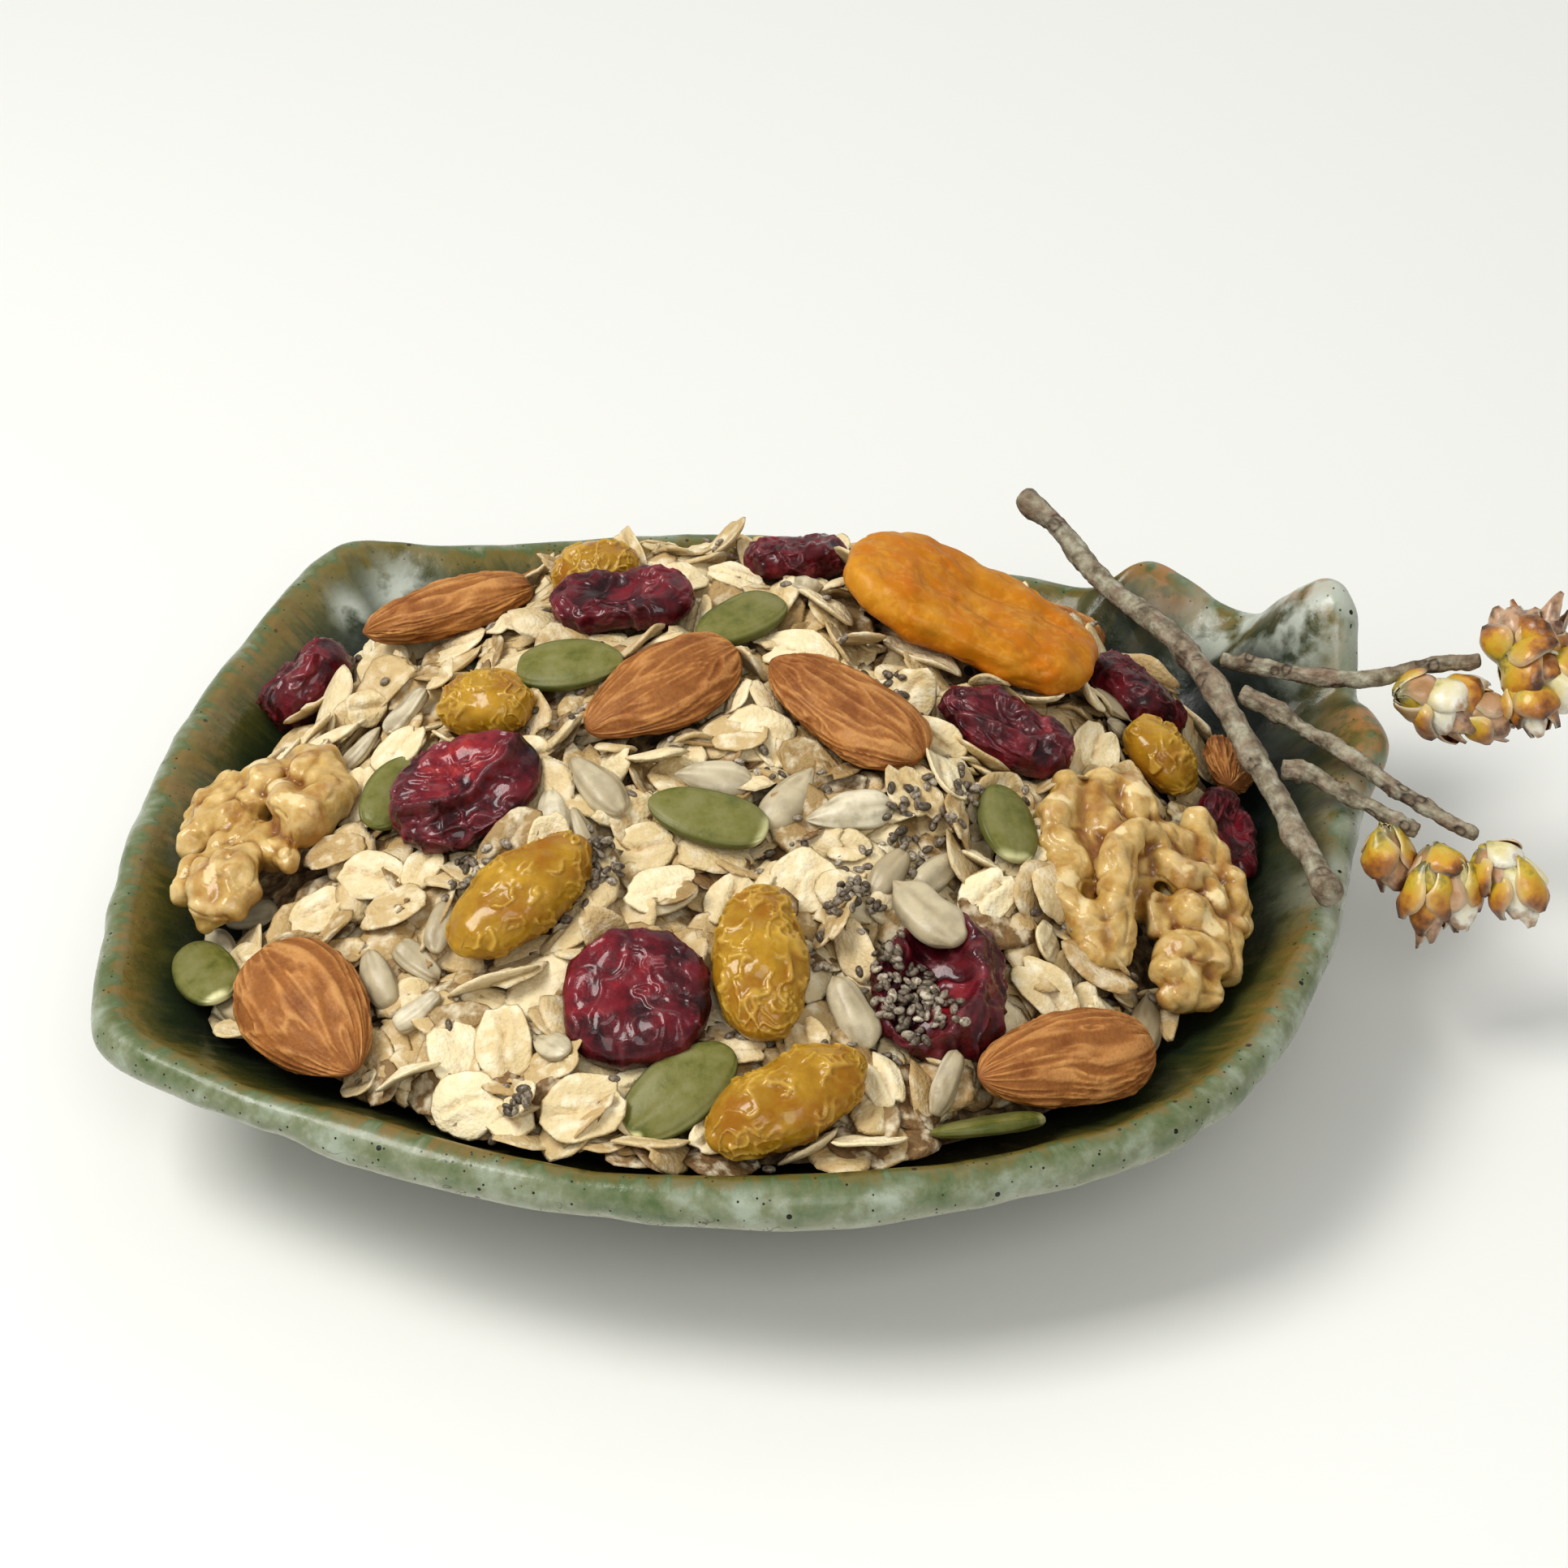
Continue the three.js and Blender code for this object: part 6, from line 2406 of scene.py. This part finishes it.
WALNUTS = (
    Walnut("walnut_1", 92, (
        ((12.2, -3.2, 0, 2.8), (12, -8.2, 0.5, 3.4), (6, -9.6, 1, 3.2), (2.2, -10, 0.8, 3.2),
         (-1, -7, 1.2, 3.8)),
        ((5, -3.4, 2.2, 2.6), (2.2, -5, 2.2, 3.2), (-1.5, -6.5, 1.6, 3.2)), ((8, -6.8, 2.2, 2.2),),
        ((12.2, 0.4, 1.4, 2.8), (9.4, -0.8, 1.8, 2.8), (7.6, 1, 1.4, 2.4)),
        ((11.4, 8.6, 0.4, 3.0), (12.4, 5.2, 0.6, 2.8), (9.8, 3.4, 1.0, 2.6)), ((8.4, 10.4, 0, 2.6),),
        ((4.2, 10.8, 0, 2.4), (5.4, 8.0, 0.8, 3.1), (4.6, 5.2, 0.8, 2.8)), ((8.8, 6.6, 1.2, 2.4),),
        ((4, 3, -0.6, 3.0), (0.6, 1.8, -0.6, 3.5), (-1.4, -0.6, -0.6, 2.9), (-3.4, -1.8, 0, 2.3),
         (-7.4, -4.6, 0, 1.7)),
        ((0, 6, -0.4, 3.0), (-2.4, 6.6, 0.6, 2.3)), ((-2.4, 9.8, 0, 2.2), (-5.8, 11, 0, 2.3)),
        ((-5.6, 7.4, 0.8, 2.8), (-9.6, 6.6, 0.8, 3.2), (-11.6, 5.2, 0.6, 2.6)),
        ((-6, 3, 1, 3.3), (-10.2, 3, 1.2, 3.6)), ((-12.2, 7.4, 0, 2.6), (-13, 4.2, 0.2, 2.4)),
    ), ((-9.6, 5.6, 1.2), (-8.4, 2.2, 0.9), (-0.6, -7, 1.2), (5, -3.4, 1.4), (12, 0.6, 1.2)), seed=80),
    Walnut("walnut_2", 97, (
        ((13.6, 11.4, 0, 2.6), (8.8, 13.4, 0, 2.9), (3.4, 13.4, 0.4, 2.9), (-1, 12.8, 0.4, 2.7),
         (-4.6, 13.6, 0, 2.5),
         (-8.2, 11.8, 0, 2.3)),
        ((15, 7, 0.8, 3.2), (10.6, 7.6, 0.8, 3.0), (5.4, 9.2, 0.2, 2.8), (-0.6, 9.8, -0.6, 2.4)),
        ((15.2, 3, 1.6, 2.8), (12, 1.8, 1.8, 3.1)), ((8.6, 7, 2.8, 1.7), (6, 7.6, 2.6, 1.7)),
        ((6.6, 1.8, 3, 1.9), (5.8, 5, 3.4, 2.2), (2.2, 6.4, 3.6, 2.5), (-2.2, 6.8, 3.4, 2.8),
         (-6.6, 7.2, 2.4, 2.7)),
        ((6.6, 1.8, 3, 1.9), (4.4, -0.4, 3.2, 1.9), (1.4, -1.4, 3, 2.0), (1, -4.6, 2.8, 2.0),
         (0.6, -6.8, 2.4, 1.8),
         (-2.2, -8, 2, 2.0)),
        ((8.4, -1.6, 0.6, 2.6), (7.4, -4.2, 1, 2.4), (3.6, -3.6, 0.4, 2.8)),
        ((12, -7.4, 1, 2.3), (8.4, -9, 1.2, 2.3), (5, -8.4, 1, 2.2)),
        ((3.4, -11.4, 0.4, 2.2), (-0.4, -12.2, 0.4, 2.4), (-3.8, -11.4, 0.4, 2.6)),
        ((-4.6, -3.8, 1.4, 3.2), (-6.4, -7.4, 1, 3.2)), ((-11, -2, 1.4, 3.0), (-11.2, -6, 1.2, 3.2)),
        ((-14.2, -0.6, 0.8, 2.4), (-14.8, -4.2, 0.8, 2.3)), ((-7.4, -9.4, 0.4, 2.8), (-11, -10, 0, 2.2)),
        ((8, 4.4, -2.4, 4.6), (2, 4.4, -3, 3.6)),
        ((7, -5, -2.4, 4.6), (0, -7, -2.4, 4.8), (-8, -5.5, -2, 4.4)),
        ((5, 10.5, -2.4, 3.8), (-4, 10.4, -2.4, 3.4)), ((-8.4, 10.6, 0.2, 2.9), (-12.2, 9.4, 0, 2.6)),
        ((-8.6, 6.8, 1.6, 2.9), (-12.4, 6.4, 0.4, 2.6)), ((-16.6, -2.4, 0.2, 2.4), (-15.6, -6.6, 0, 2.4)),
        ((-6.6, 0.2, 0.6, 2.4), (-3.4, 0.6, 0.8, 2.2)),
        ((4.6, 2.6, 0.4, 2.6), (0, 2.8, 0, 2.6), (-3.6, 2.6, -1, 2.3)),
    ), ((13.6, 2.6, 1.7), (4.6, 6.2, 1.4), (1, -3.8, 1.5), (-2.4, -7.6, 1.2), (-7, -6.4, 1.3),
        (-14, -2.2, 1.6),
        (-3.6, 13.6, 1.0), (-7.4, 12, 1.0), (9.6, 13.6, 0.9)), seed=90),
)
KERNELS = (
    (-17.5, -17.5, 125, 12.0), (-2.0, -16.5, 175, 10.5), (8.0, -19.5, 55, 11.0), (16.0, -22.0, 195, 12.0),
    (26.0, -38.5, 128, 13.5), (21.0, -30.5, 60, 8.5), (-45.5, -40.5, 100, 9.0), (-44.5, 6.0, 40, 8.5),
    (-51.0, 4.0, 30, 8.0), (16.0, -51.0, 110, 11.0), (28.0, -60.0, 90, 9.0), (-72.5, -18.0, 170, 9.0),
    (-40.0, -47.0, 30, 7.5), (31.0, -30.5, 50, 9.0), (-37.5, -35.0, 80, 8.0),
)
LARGE_FLAKES = (
    (-28.5, -53.5, 95, 11.5, 7.5, 0.5), (-33.0, -59.5, 20, 10.0, 9.0, 0.6),
    (-18.0, -64.5, 10, 12.0, 9.0, 0.6),
    (-42.5, -58.0, -12, 11.0, 7.0, -0.9), (-9.5, -68.5, 0, 11.0, 6.0, -0.8),
    (18.0, -68.5, 10, 10.0, 6.0, -0.8),
    (12.0, -67.0, 5, 9.0, 6.0, -0.8), (-30.0, -45.0, 0, 13.0, 6.0, -0.7), (-8.5, -33.0, 20, 10.5, 7.5, 0.3),
    (10.0, -31.5, 60, 9.5, 8.5, 0.5), (-11.0, -26.0, 10, 9.0, 7.5, 0.5), (-47.5, -24.0, -10, 10.0, 7.0, 0.2),
    (9.5, 9.5, -10, 12.0, 8.0, 0.2), (-7.0, 26.5, 30, 9.0, 8.0, 0.3), (0.5, 28.5, -20, 8.5, 6.0, 0.2),
    (-45.0, -4.0, 40, 9.0, 8.5, 0.5), (41.5, -42.5, -50, 11.0, 7.0, 0.2), (50.0, -44.0, -30, 11.0, 7.0, 0.1),
    (1.0, -8.0, 0, 9.0, 7.0, 0.1), (50.5, 7.0, 70, 9.0, 7.0, 0.6), (-44.5, -30.5, -5, 10.0, 7.5, -0.2),
    (0.5, -34.5, 75, 9.0, 7.0, 0.6), (-29.0, 11.5, 15, 10.0, 7.0, 0.2), (-39.0, 24.0, -10, 11.0, 7.0, 0.1),
    (34.0, -32.0, 60, 9.0, 7.0, 0.3), (20.5, -63.5, -60, 9.0, 6.0, 0.2), (64.0, -39.0, 15, 9.0, 6.0, -0.3),
    (71.0, -17.0, 70, 10.0, 6.0, 0.5), (-48.5, -11.0, 60, 9.5, 7.5, 0.4), (-47.5, -16.5, 20, 8.5, 6.5, 0.4),
    (-52.0, -27.0, 30, 9.0, 7.0, 0.3), (-56.0, -31.0, -20, 9.0, 6.5, 0.1),
)
DRIFTS = (
    (22.0, -48.5, 2.8, 130), (18.0, -36.5, 2.4, 60), (8.5, -19.0, 2.8, 70), (0.0, -17.5, 2.0, 44),
    (24.0, -24.0, 2.8, 90), (15.0, -34.5, 2.0, 50), (-17.0, -30.0, 2.2, 60), (-34.0, -27.0, 2.2, 48),
    (12.0, 8.0, 2.2, 36), (20.0, 1.0, 2.0, 34), (-28.0, -66.0, 1.8, 22), (7.0, -71.0, 2.0, 34),
    (23.5, -53.0, 1.8, 50), (34.0, -14.0, 1.8, 24), (-22.0, -4.0, 1.8, 16), (10.0, -42.0, 1.6, 20),
)
SHOOTS = (
    Branch("twig_bark", "twig_stem", (
        (43, 69, 38.5), (48, 62.5, 37), (52, 55, 35.4), (55.5, 48, 35.4), (60, 40, 36.4), (64.5, 31, 37.2),
        (67.5, 22.5, 37.4), (70, 15, 37), (72.4, 7, 36.2), (74.8, 0, 35.2), (77.2, -8, 34.2),
        (79.2, -15, 33.6),
        (81, -22, 33.8)), 1.6, 1.6, (0.03, 0.46, 0.55, 0.7, 0.86, 0.98), 101),
    Branch("shoot_1_bark", "twig_branch_1", (
        (69.6, 29, 36.6), (74, 27.4, 36.8), (79, 25.4, 36.8), (84.5, 23.8, 37), (90.5, 23.2, 37.4),
        (97.5, 24.6, 38.4), (103, 24.4, 39.4), (106, 24, 40)), 1.25, 1.0, (0.1, 0.42, 0.75, 0.95), 111),
    Branch("shoot_2_bark", "twig_branch_2", (
        (71.8, 20.6, 36.6), (75, 18.6, 36.2), (77.8, 16, 36.1), (80.8, 12.2, 36), (84.4, 8.7, 36),
        (87.8, 5, 35.6), (91.2, 0.8, 35), (95, -1.8, 34), (99, -5, 33.2), (102.4, -7.2, 32.6)),
        1.25, 1.0, (0.15, 0.5, 0.8), 121),
    Branch("shoot_3_bark", "twig_branch_3", (
        (76.3, 4.4, 35.4), (79.4, 4.2, 35.1), (82.6, 1.4, 35), (86.2, -1.4, 34.6), (90, -4.2, 34),
        (94.2, -6.6, 33)), 1.35, 1.05, (0.12, 0.45, 0.85), 131),
)
BUDS = (
    BudCluster("buds_1", (
        (97.5, 20.4, 36, 8, 5, -20, 20), (101, 19, 35, 9, 6.4, -30, -40), (103.5, 21, 34.4, 9, 6.4, -10, 10),
        (106.5, 18.5, 34, 8, 5.4, -30, 0)), 201),
    BudCluster("buds_2", (
        (110.5, 27, 42, 9, 6, 30, 100), (114.5, 26.5, 42.5, 9, 6, 40, 40), (113, 21.5, 39.5, 9, 7, -10, -30),
        (117, 21, 38, 9, 6.5, -30, 0), (112.5, 18, 36.6, 8, 5.6, -50, -60)), 202),
    BudCluster("buds_3", ((90.2, -8.6, 30.2, 8.5, 5, -70, -60),), 203),
    BudCluster("buds_4", (
        (96.8, -10.6, 29.5, 6.5, 5.6, -40, -80), (95.6, -13.5, 26.6, 10.5, 4.8, -78, -100),
        (99.6, -12.8, 26.8, 10, 4.4, -80, -80)), 204),
    BudCluster("buds_5", ((105, -11, 30.2, 7, 5.6, -30, -40), (107.6, -13.4, 28.2, 9.5, 5, -65, -50)), 205),
)
CORE_DEPTH = 5.5


def build_food(effects: Effects) -> tuple[dict[str, Pose], dict[str, Shell]]:
    """Makes the nuts, seeds and fruit that the frame has as nodes.

    Args:
        effects: The shared node groups.

    Returns:
        Where each of them lies, and the skins of the cranberries and pumpkin seeds.
    """
    kinds = ((AlmondFinish(), ALMONDS), (CranberryFinish(), CRANBERRIES), (RaisinFinish(), RAISINS),
             (PumpkinFinish(), SEEDS), (WalnutFinish(), WALNUTS), (ApricotFinish(), (Apricot(),)))
    poses, skins = {}, {}
    for look, pieces in kinds:
        material = look.material(effects)
        for piece in pieces:
            skin = piece.build(material)
            if skin is not None:
                skins[piece.name] = skin
            guard = WALNUT_GUARD if isinstance(piece, Walnut) else 1.0
            poses[piece.name] = Pose.of(piece.name, piece.heading, guard)
    return poses, skins


def build_heap(form: DishForm, poses: dict[str, Pose], skins: dict[str, Shell], effects: Effects) -> None:
    """Makes the core and everything loose that lies on it.

    Args:
        form: The dish.
        poses: The food to leave room for.
        skins: The skins of the food that loose things may lie on.
        effects: The shared node groups.
    """
    heap = Heap(form)
    Core(form, heap, CORE_DEPTH).build(effects)
    pile = Pile(heap, poses, CORE_DEPTH)
    oats = OatFinish().material(effects)
    plain = FlakeMould(16, (0.35, 0.68, 0.9), (0.8,))
    fine = FlakeMould(28, (0.16, 0.34, 0.52, 0.7, 0.84, 0.94), (0.45, 0.85))
    # The shade arguments paint shade on the lower layers by darker tints, and lighten the upper ones.
    OatFlakes("oat_flakes_low", 700, plain, 24, -1.2, 0.25, 0.2, -0.3, 21).build(pile, oats)
    OatFlakes("oat_flakes_middle", 350, plain, 24, 0.6, 0.4, 0.15, -0.04, 22).build(pile, oats)
    pile.half_bury("pumpkin_seed_8", skins["pumpkin_seed_8"])
    ChosenFlakes(LARGE_FLAKES, fine).build(pile, oats)
    kernels, kernel_skin = SunflowerKernels(KERNELS), KernelFinish().material(effects)
    pile.half_bury("cranberry_7", skins["cranberry_7"])
    kernels.build_placed(pile, kernel_skin)
    pile.reserve("cranberry_7", poses["cranberry_7"])
    OatFlakes("oat_flakes_top", 300, fine, 48, 3.3, 0.55, 0.06, 0.05, 23).build(pile, oats)
    OatFlakes("oat_flakes_front", 60, fine, 30, 4.0, 0.9, 0.12, 0.1, 24, True).build(pile, oats)
    kernels.build_strewn(pile, kernel_skin)
    pile.half_bury("cranberry_7", skins["cranberry_7"])
    ChiaSeeds(DRIFTS).build(pile, ChiaFinish().material(effects))


def main() -> None:
    """Builds the studio, then the object from the dish up."""
    logging.basicConfig(level=logging.INFO, format="%(message)s")
    Studio().build()
    effects = Effects()
    form = DishForm(12)
    Dish(form).build(effects)
    poses, skins = build_food(effects)
    build_heap(form, poses, skins, effects)
    bark = BarkFinish().material(effects)
    for shoot in SHOOTS:
        shoot.build(bark)
    scales = BudFinish().material(effects)
    for cluster in BUDS:
        cluster.build(scales)


if __name__ == "__main__":
    main()
